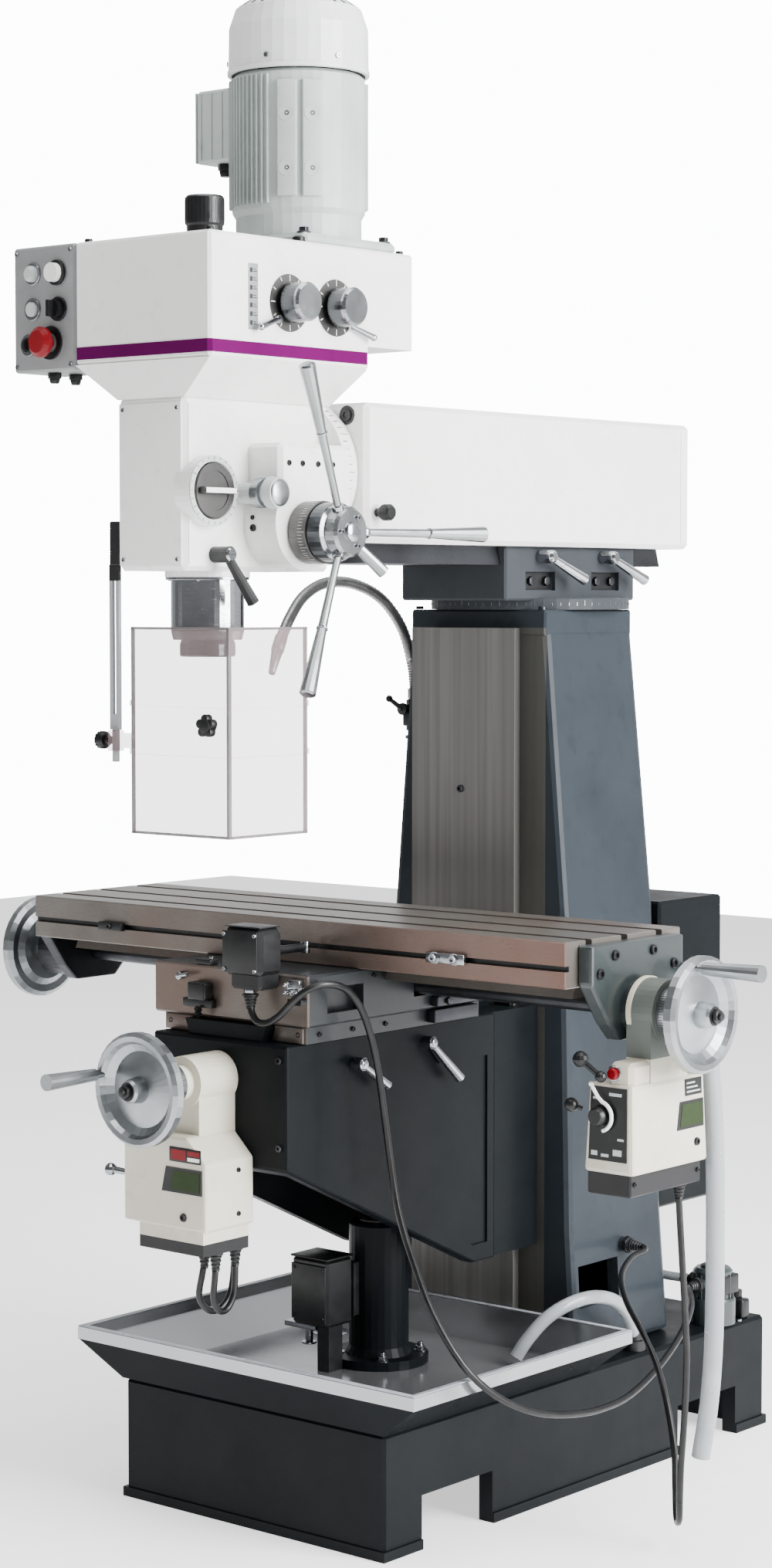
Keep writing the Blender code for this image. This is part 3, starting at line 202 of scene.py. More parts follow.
SLATE = (0.0042, 0.0056, 0.0068)
SLATE_DARK = (0.003, 0.0041, 0.005)
# painted light: the column's slate paint, drawn about five times lighter than SLATE for the light its faces catch
# from the right
COLUMN_LIT_SLATE = (0.023, 0.0285, 0.0345)
SATIN = {"Coat_Weight": 0.01, "Specular_IOR_Level": 0.07}
LOOKS = {
    "slate": paint("slate_paint", SLATE, 0.38, SLATE_DARK, 0.0002, 0.0009, **SATIN),
    # painted light: the turret's slate paint, drawn about eight times lighter than SLATE for the light its right
    # side catches
    "turret": paint("turret_lit_slate_paint", (0.034, 0.038, 0.043), 0.36, (0.024, 0.027, 0.031), 0.0002, 0.0006,
                    **SATIN),
    # painted highlight: a light grey for the bright line of light along the tray's lip
    "rim": paint("rim_highlight_paint", (0.34, 0.36, 0.39), 0.28, (0.2, 0.22, 0.24)),
    "white": paint("white_paint", (0.8, 0.8, 0.79), 0.3, (0.74, 0.735, 0.72), Coat_Weight=0.3),
    "cream": paint("cream_paint", (0.66, 0.61, 0.49), 0.38, (0.58, 0.53, 0.41), Coat_Weight=0.2),
    "green_grey": paint("green_grey_paint", (0.019, 0.026, 0.027), 0.34, (0.013, 0.018, 0.019),
                        Coat_Weight=0.3),
    "panel_grey": paint("panel_grey_paint", (0.21, 0.215, 0.22), 0.42, (0.15, 0.152, 0.156)),
    "motor": paint("motor_paint", (0.4, 0.445, 0.43), 0.42, (0.3, 0.335, 0.325)),
    "cowl": paint("cowl_paint", (0.66, 0.68, 0.67), 0.36, (0.56, 0.58, 0.57), Coat_Weight=0.2),
    "purple": paint("purple_stripe", (0.078, 0.0004, 0.056), 0.6, (0.066, 0.0003, 0.048),
                    Specular_IOR_Level=0.04),
    "bright": metal("bright_steel", (0.4, 0.41, 0.43), 0.17, (1, 1, 9), (0.22, 0.23, 0.25), 0.00002),
    "dark_iron": metal("dark_iron", (0.06, 0.063, 0.07), 0.36, (1, 8, 8), (0.03, 0.03, 0.034), 0.00003),
    "knurled": metal("knurled_steel", (0.115, 0.112, 0.11), 0.36, (1, 1, 14), (0.06, 0.06, 0.06), 0.00005),
    "aluminium": satin("cast_aluminium", (0.345, 0.365, 0.375), 0.33, (0.24, 0.255, 0.265)),
    "ribbed": metal("ribbed_steel", (0.4, 0.4, 0.4), 0.36, (1, 1, 3), (0.22, 0.22, 0.22), 0.00002),
    "black": plastic("black_plastic", (0.0042, 0.0045, 0.0052), 0.36, Specular_IOR_Level=0.35),
    "grey_plastic": plastic("grey_plastic", (0.42, 0.44, 0.44), 0.34),
    "white_plastic": plastic("white_plastic", (0.8, 0.8, 0.78), 0.3),
    "red": plastic("red_plastic", (0.165, 0.001, 0.005), 0.34, Specular_IOR_Level=0.25),
    "green": plastic("green_label", (0.012, 0.025, 0.004), 0.45, Specular_IOR_Level=0.2),
    "cable": plastic("cable_rubber", (0.0026, 0.0027, 0.0032), 0.36, 0.00003, Specular_IOR_Level=0.35),
    "hose": plastic("clear_hose", (0.36, 0.385, 0.4), 0.2, 0.00002, Transmission_Weight=0.3),
    "guard": plastic("guard_plastic", (0.225, 0.172, 0.18), 0.1, 0.00001, Alpha=0.5),
    "guard_edge": plastic("guard_edge_plastic", (0.15, 0.13, 0.135), 0.16, 0.00001, Alpha=0.8),
    "floor": plastic("pale_floor", (0.86, 0.86, 0.86), 0.7, Specular_IOR_Level=0.1,
                     Emission_Color=(1, 1, 1, 1), Emission_Strength=0.95),
}


def local(node, letter, value):
    """A world coordinate as the node's own, for looks that change along a CAD node."""
    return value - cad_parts[node].matrix_world.translation["XYZ".index(letter)]


def ground_look():
    """Ground ways and table: warm grey iron with fine machining marks and brown oil stains."""
    look = metal("ground_iron", (0.15, 0.138, 0.126), 0.32, (1, 22, 22), (0.105, 0.091, 0.08), 0.00001)
    look.tint(look.span(look.noise(2.6, detail=6.0), 0.5, 0.74, 0.0, 0.7), (0.13, 0.074, 0.052))
    look.shader.inputs["Metallic"].default_value = 0.5
    return look


def saddle_look():
    """The saddle's front is bare ground iron, and the rest of it is painted."""
    look = ground_look()
    look.material.name = "saddle_iron"
    painted = look.above("Y", -0.5035, "saddle")
    foot = look.below("Y", -0.4955, "saddle")
    foot = look.both(foot, look.below("Z", 0.7245, "saddle"))
    painted = look.both(painted, look.outside(foot))
    look.tint(painted, (0.0085, 0.0105, 0.0125))
    look.drive("Metallic", look.both(look.outside(painted), 0.5))
    return look


def column_look():
    """The casting's slate paint, drawn lighter than the base's as painted light, with the dovetail ways and the
    strips beside them ground bare and the recess behind the dovetail darkened as painted shade.
    """
    look = paint("column_lit_slate_paint", COLUMN_LIT_SLATE, 0.4, [c * 0.7 for c in COLUMN_LIT_SLATE], 0.0002, 0.0009, **SATIN)
    ways = look.below("Y", 0.0475)
    ways = look.both(ways, look.below("Z", 1.2625))
    ways = look.both(ways, look.math("LESS_THAN", look.math("ABSOLUTE", look.axis("X"), 0), 0.1285))
    # painted shade: the ways behind the dovetail's front face (Y over 0.012) are darkened for the shadow in the
    # undercut
    recess_shade = look.both(ways, look.above("Y", 0.012))
    bands = look.noise(22.0, (5, 1, 0.06), 2.0, 0.5)
    broad = look.noise(5.0, (4, 1, 0.1), 1.0, 0.4)
    look.tint(ways, (0.19, 0.187, 0.18))
    look.tint(look.both(ways, look.span(bands, 0.4, 0.66, 0.0, 0.45)), (0.098, 0.094, 0.088))
    look.tint(look.both(ways, look.span(broad, 0.42, 0.58, 0.0, 0.5)), (0.125, 0.123, 0.118))
    # painted shade in the dovetail's recess
    look.tint(look.both(recess_shade, 0.8), (0.06, 0.06, 0.054))
    look.drive("Metallic", look.both(ways, 0.45))
    look.drive("Coat Weight", look.both(look.outside(ways), 0.05))
    look.drive("Roughness", look.span(bands, 0.3, 0.7, 0.28, 0.38))
    return look


def tray_look():
    """The tray's paint, dull on its outside; the faces that don't look down are glossier with coolant and painted a
    light metallic grey as a painted reflection.
    """
    look = paint("tray_paint", SLATE, 0.26, SLATE_DARK, 0.0001, 0.0005, Specular_IOR_Level=0.04)
    normal = look.tree.nodes.new("ShaderNodeNewGeometry").outputs["Normal"]
    # painted reflection: faces that don't face down are tinted light grey and made mostly metallic for the bright
    # reflection in the wet tray; the lower roughness is the coolant's gloss
    wet_and_sheen = look.math("GREATER_THAN", look.axis("Z", normal), -0.1)
    look.tint(wet_and_sheen, (0.36, 0.37, 0.38))
    look.drive("Metallic", look.both(wet_and_sheen, 0.8))
    uneven = look.span(look.noise(9.0), 0.3, 0.7, 0.26, 0.34)
    look.drive("Roughness", look.math("SUBTRACT", uneven, look.both(wet_and_sheen, 0.12)))
    return look


def split_look(name, look, lower, node, height):
    """A look with another colour below a height on a node."""
    look.material.name = name
    return look.tint(look.below("Z", height, node), lower)


def table_look():
    """The table's ground iron, with a redder front towards its right end."""
    look = ground_look()
    look.material.name = "table_iron"
    front = look.below("Y", -0.399, "table")
    redder = look.both(front, look.span(look.axis("X"), -0.1, 0.5, 0.0, 0.55))
    return look.tint(redder, (0.21, 0.098, 0.07))


LOOKS["ground"] = ground_look()
LOOKS["table"] = table_look()
LOOKS["tray"] = tray_look()
LOOKS["column"] = column_look()
LOOKS["saddle"] = saddle_look()
CREAM = ((0.56, 0.53, 0.44), 0.38, (0.46, 0.43, 0.35))
BLACK_RGB = (0.006, 0.006, 0.007)
for unit, seam in (("cross_feed_unit", 0.4345), ("table_feed_unit", 0.553)):
    LOOKS[unit] = split_look(unit + "_paint", paint(unit, *CREAM, Specular_IOR_Level=0.3), BLACK_RGB, unit,
                             seam)
neck = LOOKS["table_feed_unit"]
neck.tint(neck.above("Z", 0.7015, "table_feed_unit"), (0.105, 0.118, 0.108))
for knob, edge in (("speed_knob_a", 0.1565), ("speed_knob_b", 0.1565), ("feed_lever_hub", 0.1765)):
    face = satin(knob, (0.3, 0.315, 0.32), 0.24, (0.2, 0.21, 0.215))
    LOOKS[knob] = face.tint(face.below("X", edge, knob), (0.07, 0.075, 0.08))
post = paint("post_paint", (0.3, 0.31, 0.32), 0.34, (0.22, 0.225, 0.23))
LOOKS["post"] = post.tint(post.above("Z", 1.33, "guard_post"), BLACK_RGB)

NODE_LOOKS = {
    "slate": ("base", "screw_pedestal", "rear_cabinet", "knee"),
    "tray": ("chip_tray",),
    "turret": ("turret_block",),
    "column": ("column",),
    "white": ("ram", "head_housing"),
    "cross_feed_unit": ("cross_feed_unit",),
    "table_feed_unit": ("table_feed_unit",),
    "green_grey": ("end_bracket_right", "coolant_pump"),
    "panel_grey": ("control_panel",),
    "motor": ("motor",),
    "cowl": ("motor_cowl",),
    "table": ("table",),
    "saddle": ("saddle",),
    "bright": ("quill", "spindle", "elevating_screw", "clamp_lever_front", "clamp_lever_rear",
               "knee_lock_front", "knee_lock_rear", "cross_feed_lever"),
    "feed_lever_hub": ("feed_lever_hub",),
    "speed_knob_a": ("speed_knob_a",),
    "speed_knob_b": ("speed_knob_b",),
    "grey_plastic": ("depth_stop_knob",),
    "knurled": ("feed_dial",),
    "dark_iron": ("ram_dovetail", "table_leadscrew", "end_bracket_left"),
    "aluminium": ("cross_handwheel", "handwheel_left", "handwheel_right"),
    "black": ("stop_box", "drawbar_cap", "quill_lock_lever", "motor_fan", "limit_switch", "coolant_valve",
              "selector_knob", "table_feed_lever"),
    "white_plastic": ("start_button",),
    "red": ("estop_button",),
    "ribbed": ("coolant_gooseneck",),
    "guard": ("guard",),
    "post": ("guard_post",),
}


def dress_nodes():
    for look, nodes in NODE_LOOKS.items():
        for name in nodes:
            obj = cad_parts[name]
            obj.data.materials.clear()
            obj.data.materials.append(LOOKS[look].material)


# ---------------------------------------------------------------- mesh tools
def spin_frame(axis):
    """Two unit vectors square to an axis, and the axis."""
    axis = Vector(axis).normalized()
    side = axis.cross(Z) if abs(axis.z) < 0.9 else axis.cross(X)
    side.normalize()
    return axis.cross(side).normalized(), side, axis


# ---------------------------------------------------------------- places and profiles
def grid(*spans):
    """Every place in a grid; each span is one number or a tuple of them."""
    return itertools.product(*(span if isinstance(span, tuple) else (span,) for span in spans))


def spokes(degrees, u=X, v=Y):
    """Unit vectors at these angles, turned from u towards v."""
    return [u * math.cos(math.radians(a)) + v * math.sin(math.radians(a)) for a in degrees]


def cap(*points):
    """The profile of a solid cap: its rim's (radius, height) points, closed on the axis."""
    return [(0, points[0][1]), *points, (0, 0)]


def hoop(*points):
    """The profile of a ring: its (radius, height) points, closed on the first."""
    return [*points, points[0]]


def oblong(a, b, w, h):
    """The outline of a rectangle from its near corner and its size."""
    return [(a, b), (a + w, b), (a + w, b + h), (a, b + h)]


class Form:
    """Geometry gathered in one mesh, finished as one piece."""

    def __init__(self):
        self.bm = bmesh.new()

    def keep(self, made, bevel=0.0, segments=3):
        if bevel:
            edges = [edge for edge in {e for v in made for e in v.link_edges} if edge.calc_face_angle(0) > 0.5]
            bmesh.ops.bevel(self.bm, geom=edges, offset=bevel, segments=segments, affect="EDGES", profile=0.5)
        return self

    def block(self, x, y, z, bevel=0.0, segments=3, turn=None):
        made = bmesh.ops.create_cube(self.bm, size=1.0)["verts"]
        centre = Vector((sum(x) / 2, sum(y) / 2, sum(z) / 2))
        size = (x[1] - x[0], y[1] - y[0], z[1] - z[0])
        matrix = Matrix.Translation(centre) @ (turn or Matrix.Identity(4)) @ Matrix.Diagonal((*size, 1.0))
        bmesh.ops.transform(self.bm, matrix=matrix, verts=made)
        return self.keep(made, bevel, segments)

    def rod(self, start, end, radius, end_radius=None, sides=32, bevel=0.0):
        start, end = Vector(start), Vector(end)
        turn = (end - start).to_track_quat("Z", "Y").to_matrix().to_4x4()
        made = bmesh.ops.create_cone(
            self.bm, cap_ends=True, segments=sides, radius1=radius,
            radius2=radius if end_radius is None else end_radius, depth=(end - start).length,
            matrix=Matrix.Translation((start + end) / 2) @ turn,
        )["verts"]
        return self.keep(made, bevel, 2)

    def ball(self, centre, radius):
        matrix = Matrix.Translation(centre)
        bmesh.ops.create_uvsphere(self.bm, u_segments=32, v_segments=16, radius=radius, matrix=matrix)
        return self

    def turned(self, place, axis, profile, steps=64):
        """A lathe shape from (radius, height) points, from its top down its outer side."""
        u, v, w = spin_frame(axis)
        place = Vector(place)
        rings = []
        for radius, height in profile:
            centre = place + w * height
            if radius < 1e-6:
                rings.append([self.bm.verts.new(centre)])
                continue
            angles = (2 * PI * k / steps for k in range(steps))
            rings.append([self.bm.verts.new(centre + radius * (math.cos(a) * u + math.sin(a) * v)) for a in angles])
        for upper, lower in zip(rings, rings[1:]):
            for k in range(steps):
                following = (k + 1) % steps
                corners = [upper[k % len(upper)], lower[k % len(lower)],
                           lower[following % len(lower)], upper[following % len(upper)]]
                corners = list(dict.fromkeys(corners))
                if len(corners) > 2:
                    self.bm.faces.new(corners)
        return self

    def sweep(self, route, radius, sides=16):
        """A round tube along a route; radius is a number or one for each point."""
        route = [Vector(point) for point in route]
        radii = radius if isinstance(radius, (list, tuple)) else [radius] * len(route)
        side = spin_frame(route[1] - route[0])[0]
        rings = []
        for k, point in enumerate(route):
            ahead = route[min(k + 1, len(route) - 1)] - route[max(k - 1, 0)]
            ahead.normalize()
            side = (side - ahead * side.dot(ahead)).normalized()
            other = ahead.cross(side)
            angles = (2 * PI * n / sides for n in range(sides))
            rings.append([
                self.bm.verts.new(point + radii[k] * (math.cos(a) * side + math.sin(a) * other)) for a in angles
            ])
        for first, second in zip(rings, rings[1:]):
            for n in range(sides):
                m = (n + 1) % sides
                self.bm.faces.new((first[n], first[m], second[m], second[n]))
        self.bm.faces.new(rings[0][::-1])
        self.bm.faces.new(rings[-1])
        return self

    def outline(self, points, depth, place, across, up):
        """A flat shape of (across, up) points, thickened by depth along across x up."""
        across, up = Vector(across), Vector(up)
        out = across.cross(up).normalized() * depth
        base = [self.bm.verts.new(Vector(place) + across * a + up * b) for a, b in points]
        top = [self.bm.verts.new(vert.co + out) for vert in base]
        self.bm.faces.new(base[::-1])
        self.bm.faces.new(top)
        for k in range(len(points)):
            n = (k + 1) % len(points)
            self.bm.faces.new((base[k], base[n], top[n], top[k]))
        return self

    def screw(self, place, way, radius, height=None, head="socket"):
        """A screw head on a face, looking out along way: socket, hex or button."""
        height = height or radius * 0.9
        place, way = Vector(place), Vector(way).normalized()
        if head == "hex":
            return self.nut(place, way * height, radius, radius * 0.08)
        rim = height * (0.75 if head == "socket" else 0.35)
        profile = [(0, height * 0.35), (radius * 0.48, height * 0.35), (radius * 0.5, height),
                   (radius * 0.86, height), (radius, rim), (radius, 0), (0, 0)]
        return self.turned(place, way, profile, 20)

    def screws(self, xs, ys, zs, way, radius, height=None, head="socket"):
        """The same screw at each place of a grid."""
        for place in grid(xs, ys, zs):
            self.screw(place, way, radius, height, head)
        return self

    def stub(self, place, way, radius, end_radius=None, sides=32, bevel=0.0):
        """A rod given by its start and the way along it."""
        return self.rod(place, Vector(place) + way, radius, end_radius, sides, bevel)

    def nut(self, place, way, radius, bevel=0.0006):
        return self.stub(place, way, radius, sides=6, bevel=bevel)

    def pair(self, x, y, z, bevel):
        """A block on the left and its mirror image on the right."""
        for side in (-1, 1):
            self.block(sorted((side * x[0], side * x[1])), y, z, bevel)
        return self

    def plate(self, centre, size, basis, bevel=0.0):
        """A block of this size round its centre, turned by a matrix."""
        spans = [(c - s / 2, c + s / 2) for c, s in zip(centre, size)]
        return self.block(*spans, bevel, turn=basis)

    def spoke(self, centre, degrees, radius, size, bevel=0.0):
        """A plate that faces out from a vertical axis: size is (out, across, up)."""
        place = Vector(centre) + spokes([degrees])[0] * radius
        return self.plate(place, size, Matrix.Rotation(math.radians(degrees), 4, "Z"), bevel)

    def done(self, name, look, body):
        """Makes the piece: its mesh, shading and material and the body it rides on."""
        bmesh.ops.recalc_face_normals(self.bm, faces=self.bm.faces)
        mesh = bpy.data.meshes.new(name)
        self.bm.to_mesh(mesh)
        self.bm.free()
        mesh.shade_smooth()
        mesh.set_sharp_from_angle(angle=math.radians(SHARP))
        mesh.materials.append(LOOKS[look].material)
        obj = bpy.data.objects.new(name, mesh)
        bpy.context.scene.collection.objects.link(obj)
        if body:
            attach(obj, body)
        return obj


def ticks(form, centre, axis, radius, count, size, every=5):
    """Graduation marks on a round face or rim: size is (out, across, along the axis)."""
    u, v, w = spin_frame(axis)
    basis = Matrix((u, v, w)).transposed().to_4x4()
    for k in range(count):
        angle = 2 * PI * k / count
        long = size[0] * (1.6 if k % every == 0 else 1.0)
        turn = basis @ Matrix.Rotation(angle, 4, "Z")
        place = Vector(centre) + (u * math.cos(angle) + v * math.sin(angle)) * (radius - long / 2)
        half = (long / 2, size[1] / 2, size[2] / 2)
        form.block((place.x - half[0], place.x + half[0]), (place.y - half[1], place.y + half[1]),
                   (place.z - half[2], place.z + half[2]), turn=turn)
    return form


def rim_ticks(form, centre, axis, radius, count, length, width=0.0006, every=5):
    """Graduation marks along the axis on a drum's rim."""
    u, v, w = spin_frame(axis)
    basis = Matrix((u, v, w)).transposed().to_4x4()
    for k in range(count):
        angle = 2 * PI * k / count
        long = length * (1.0 if k % every == 0 else 0.6)
        place = Vector(centre) + (u * math.cos(angle) + v * math.sin(angle)) * radius + w * (long - length) / 2
        form.block((place.x - 0.0003, place.x + 0.0003), (place.y - width / 2, place.y + width / 2),
                   (place.z - long / 2, place.z + long / 2), turn=basis @ Matrix.Rotation(angle, 4, "Z"))
    return form


def band(inner, outer, length):
    """The profile of a plain ring with softened edges."""
    soft = min(0.0006, (outer - inner) / 3)
    return [(inner, length), (outer - soft, length), (outer, length - soft), (outer, soft), (outer - soft, 0),
            (inner, 0), (inner, length)]


# ---------------------------------------------------------------- camera, light and floor
def add_camera():
    data = bpy.data.cameras.new("camera")
    data.lens = 70.98
    data.sensor_width = 36.0
    camera = bpy.data.objects.new("camera", data)
    camera.location = (2.905, -3.618, 1.308)
    camera.rotation_euler = (math.radians(86.54), 0, math.radians(40.12))
    bpy.context.scene.collection.objects.link(camera)
    bpy.context.scene.camera = camera


def area_light(name, place, target, size, power, colour=(1, 1, 1)):
    data = bpy.data.lights.new(name, "AREA")
    data.shape = "RECTANGLE"
    data.size, data.size_y = size
    data.energy = power
    data.color = colour
    light = bpy.data.objects.new(name, data)
    light.location = place
    light.rotation_euler = (Vector(target) - Vector(place)).to_track_quat("-Z", "Y").to_euler()
    bpy.context.scene.collection.objects.link(light)
    return light


def add_studio():
    """A pale studio: the room behind the machine is brighter than the room in front of it."""
    world = bpy.data.worlds.new("studio")
    world.use_nodes = True
    tree = world.node_tree
    background = tree.nodes["Background"]
    split = tree.nodes.new("ShaderNodeSeparateXYZ")
    tree.links.new(tree.nodes.new("ShaderNodeTexCoord").outputs["Generated"], split.inputs["Vector"])
    remap = tree.nodes.new("ShaderNodeMapRange")
    for socket, number in (("From Min", -0.3), ("From Max", 0.7), ("To Min", 0.3), ("To Max", 1.15)):
        remap.inputs[socket].default_value = number
    tree.links.new(split.outputs["Y"], remap.inputs["Value"])
    room = tree.nodes.new("ShaderNodeMix")
    room.inputs["B"].default_value = 14.0
    tree.links.new(tree.nodes.new("ShaderNodeLightPath").outputs["Is Camera Ray"], room.inputs["Factor"])
    tree.links.new(remap.outputs["Result"], room.inputs["A"])
    background.inputs["Color"].default_value = (0.97, 0.985, 1.0, 1.0)
    tree.links.new(room.outputs["Result"], background.inputs["Strength"])
    bpy.context.scene.world = world
    area_light("key_right", (4.4, 0.4, 2.4), (0, 0, 1.0), (2.6, 3.6), 860)
    area_light("top", (0.4, -0.4, 4.8), (0, -0.1, 0.9), (3.0, 3.0), 200)
    fill = area_light("front_left", (-2.6, -4.0, 2.2), (0, -0.2, 1.2), (1.6, 2.6), 75, (1.0, 0.955, 0.93))
    fill.visible_glossy = False
    Form().block((-7, 7), (-7, 7), (-0.02, 0)).done("floor", "floor", None)


# ---------------------------------------------------------------- cables and hoses
PER_SPAN = 4  # points that smooth_route puts between two given ones


def smooth_route(points, per_span=PER_SPAN):
    """Points along a Catmull-Rom curve through the given ones."""
    points = [Vector(point) for point in points]
    ends = [2 * points[0] - points[1], *points, 2 * points[-1] - points[-2]]
    route = []
    for before, a, b, after in zip(ends, ends[1:], ends[2:], ends[3:]):
        for step in range(per_span):
            t = step / per_span
            route.append(
                0.5 * (2 * a + (b - before) * t + (2 * before - 5 * a + 4 * b - after) * t**2
                       + (3 * a - before - 3 * b + after) * t**3)
            )
    return [*route, points[-1]]


def cord(name, route, diameter, node, look="cable", body=None, blend=None):
    """A cable or hose along a route; it rides on a body, or, where blend is given, is left in the world's frame
    without a body.
    """
    obj = Form().sweep(route, diameter / 2, 24).done(name, look, None if blend else body)
    if blend:
        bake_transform(obj)
    if node:
        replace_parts(obj, node)
    return obj


def boot(name, start, way, diameter, body, length=0.022):
    """A tapered strain relief with grip rings where a cable leaves a housing."""
    r = diameter / 2
    rings = 4
    profile = [(r * 1.04, length), (r * 1.22, length)]
    for k in range(rings):
        top = length * (1 - (k + 0.35) / (rings + 0.6))
        wide = r * (1.3 + 0.2 * k)
        profile += [(wide * 0.86, top), (wide, top - length * 0.02), (wide, top - length * 0.1),
                    (wide * 0.86, top - length * 0.12)]
    profile += [(r * 2.3, length * 0.12), (r * 2.3, 0), (r * 1.04, 0), (r * 1.04, length)]
    Form().turned(start, way, profile, 28).done(name, "black", body)


def cut_route(points, cuts):
    """One smooth route cut at the given points' indices."""
    route = smooth_route(points)
    marks = [0, *(cut * PER_SPAN for cut in cuts)]
    return [route[a : b + 1] for a, b in zip(marks, marks[1:])]


def add_cords():
    feed = [(0.553, -0.215, 0.5227), (0.553, -0.215, 0.495), (0.5555, -0.213, 0.44), (0.5585, -0.211, 0.38),
            (0.56, -0.208, 0.33), (0.56, -0.205, 0.285), (0.557, -0.202, 0.24), (0.5535, -0.201, 0.19),
            (0.549, -0.201, 0.13), (0.546, -0.199, 0.082), (0.5385, -0.189, 0.053), (0.5225, -0.171, 0.042),
            (0.507, -0.152, 0.053), (0.499, -0.142, 0.085), (0.491, -0.134, 0.13), (0.468, -0.118, 0.185),
            (0.432, -0.091, 0.228), (0.385, -0.06, 0.262), (0.318, -0.008, 0.29), (0.268, 0.05, 0.31),
            (0.242, 0.11, 0.3225), (0.234, 0.155, 0.325), (0.218, 0.176, 0.325), (0.207, 0.176, 0.325),
            (0.1963, 0.176, 0.325)]
    thin = 0.009
    top, middle, low, loop = cut_route(feed, (4, 6, 9, 24))
    cord("feed_lead_top", top, thin, "feed_cable_top", blend=("table", "saddle", top[8], top[-1]))
    cord("feed_lead_middle", middle, thin, "feed_cable_mid", blend=("saddle", "knee", middle[0], middle[-1]))
    cord("feed_lead_low", low, thin, "feed_cable_low", blend=("knee", "root", low[0], low[-1]))
    cord("feed_lead_loop", loop, thin, "feed_cable_loop", body="root")
    boot("feed_boot", feed[0], -Z, thin, "table")
    boot("column_boot", feed[-1], X, thin, "root", 0.02)

    switch = [(0.062, -0.531, 0.7677), (0.062, -0.531, 0.756), (0.066, -0.533, 0.742), (0.08, -0.536, 0.731),
              (0.1, -0.537, 0.732), (0.12, -0.535, 0.744), (0.138, -0.53, 0.763), (0.154, -0.519, 0.779),
              (0.167, -0.498, 0.786), (0.174, -0.465, 0.778), (0.176, -0.436, 0.752), (0.178, -0.415, 0.71),
              (0.18, -0.4, 0.655), (0.183, -0.391, 0.595), (0.189, -0.386, 0.535), (0.199, -0.385, 0.48),
              (0.214, -0.388, 0.44), (0.235, -0.392, 0.4), (0.275, -0.399, 0.335), (0.318, -0.388, 0.27),
              (0.342, -0.345, 0.222), (0.354, -0.27, 0.185), (0.358, -0.183, 0.166), (0.356, -0.11, 0.16),
              (0.35, -0.04, 0.164), (0.338, 0.045, 0.185), (0.312, 0.14, 0.212), (0.272, 0.225, 0.232),
              (0.228, 0.285, 0.24), (0.212, 0.306, 0.24), (0.212, 0.316, 0.24), (0.212, 0.3257, 0.24)]
    thick = 0.01
    short, long = cut_route(switch, (15, 31))
    cord("switch_lead_short", short, thick, "switch_cable_short",
         blend=("saddle", "knee", short[-17], short[-1]))
    cord("switch_lead_long", long, thick, "switch_cable_long", blend=("knee", "root", long[0], switch[21]))
    boot("switch_boot", switch[0], -Z, thick, "saddle", 0.02)
    boot("pump_boot", switch[-1], -Y, thick, "root", 0.02)

    loop_a = [(0.02, -0.58, 0.4177), (0.02, -0.58, 0.4), (0.017, -0.582, 0.38), (0.01, -0.58, 0.35),
              (0.01, -0.562, 0.329), (0.011, -0.54, 0.327), (0.012, -0.52, 0.345), (0.012, -0.512, 0.385),
              (0.012, -0.5125, 0.43), (0.012, -0.515, 0.48), (0.012, -0.515, 0.519)]
    loop_b = [(0.046, -0.585, 0.4177), (0.046, -0.585, 0.4), (0.045, -0.586, 0.38), (0.041, -0.584, 0.352),
              (0.04, -0.572, 0.334), (0.04, -0.556, 0.334), (0.041, -0.544, 0.352), (0.042, -0.542, 0.38),
              (0.042, -0.542, 0.4), (0.042, -0.542, 0.4177)]
    cord("cross_lead_a", smooth_route(loop_a), thin, "feed_cord_a", body="knee")
    cord("cross_lead_b", smooth_route(loop_b), thin, None, body="knee")
    for name, points, last in (("a", loop_a, 0), ("b", loop_b, 0), ("c", loop_b, -1)):
        boot("cross_boot_" + name, points[last], -Z, thin, "knee", 0.026)

    drain = [(0.562, -0.168, 0.7677), (0.562, -0.168, 0.755), (0.562, -0.168, 0.735), (0.562, -0.16, 0.69),
             (0.563, -0.15, 0.62), (0.563, -0.144, 0.53), (0.562, -0.141, 0.42), (0.56, -0.14, 0.3),
             (0.554, -0.141, 0.21), (0.542, -0.143, 0.13)]
    route = smooth_route(drain)
    cord("drain_pipe", route, 0.026, "drain_hose", "hose",
         blend=("table", "saddle", route[12], route[-1]))
    x = -0.158
    supply = [(x, 0.085, 1.0997), (x, 0.085, 1.075), (-0.164, 0.086, 1.02), (-0.182, 0.095, 0.93),
              (-0.186, 0.115, 0.82), (-0.198, 0.18, 0.66), (-0.206, 0.27, 0.5), (-0.19, 0.345, 0.335),
              (-0.1, 0.392, 0.262), (0.02, 0.392, 0.24), (0.11, 0.374, 0.236), (0.15, 0.372, 0.236),
              (0.1677, 0.372, 0.236)]
    cord("supply_pipe", smooth_route(supply), 0.014, "supply_hose", look="hose", body="root")
    arc = [(0.176, -0.085, 0.1985), (0.186, -0.07, 0.224), (0.202, -0.046, 0.253), (0.22, -0.012, 0.272),
           (0.232, 0.032, 0.276), (0.234, 0.08, 0.262), (0.228, 0.122, 0.232), (0.222, 0.146, 0.197)]
    cord("tray_pipe", smooth_route(arc), 0.02, "tray_hose", look="hose", body="root")
    clamps = (("supply_clamp_top", supply[0], -Z, 0.007, "root"),
              ("supply_clamp_end", supply[-1], -X, 0.007, "root"),
              ("drain_clamp", drain[0], -Z, 0.013, "table"))
    for name, place, way, r, body in clamps:
        near = Vector(place) + Vector(way) * 0.005
        strip = hoop((r + 0.0004, 0.008), (r + 0.0014, 0.008), (r + 0.0014, 0), (r + 0.0004, 0))
        clamp = Form().turned(near, way, strip, 32)
        u, v, w = spin_frame(way)
        side = near + w * 0.004 + u * (r + 0.0035)
        clamp.rod(side - v * 0.006, side + v * 0.006, 0.003, sides=12)
        clamp.done(name, "bright", body)


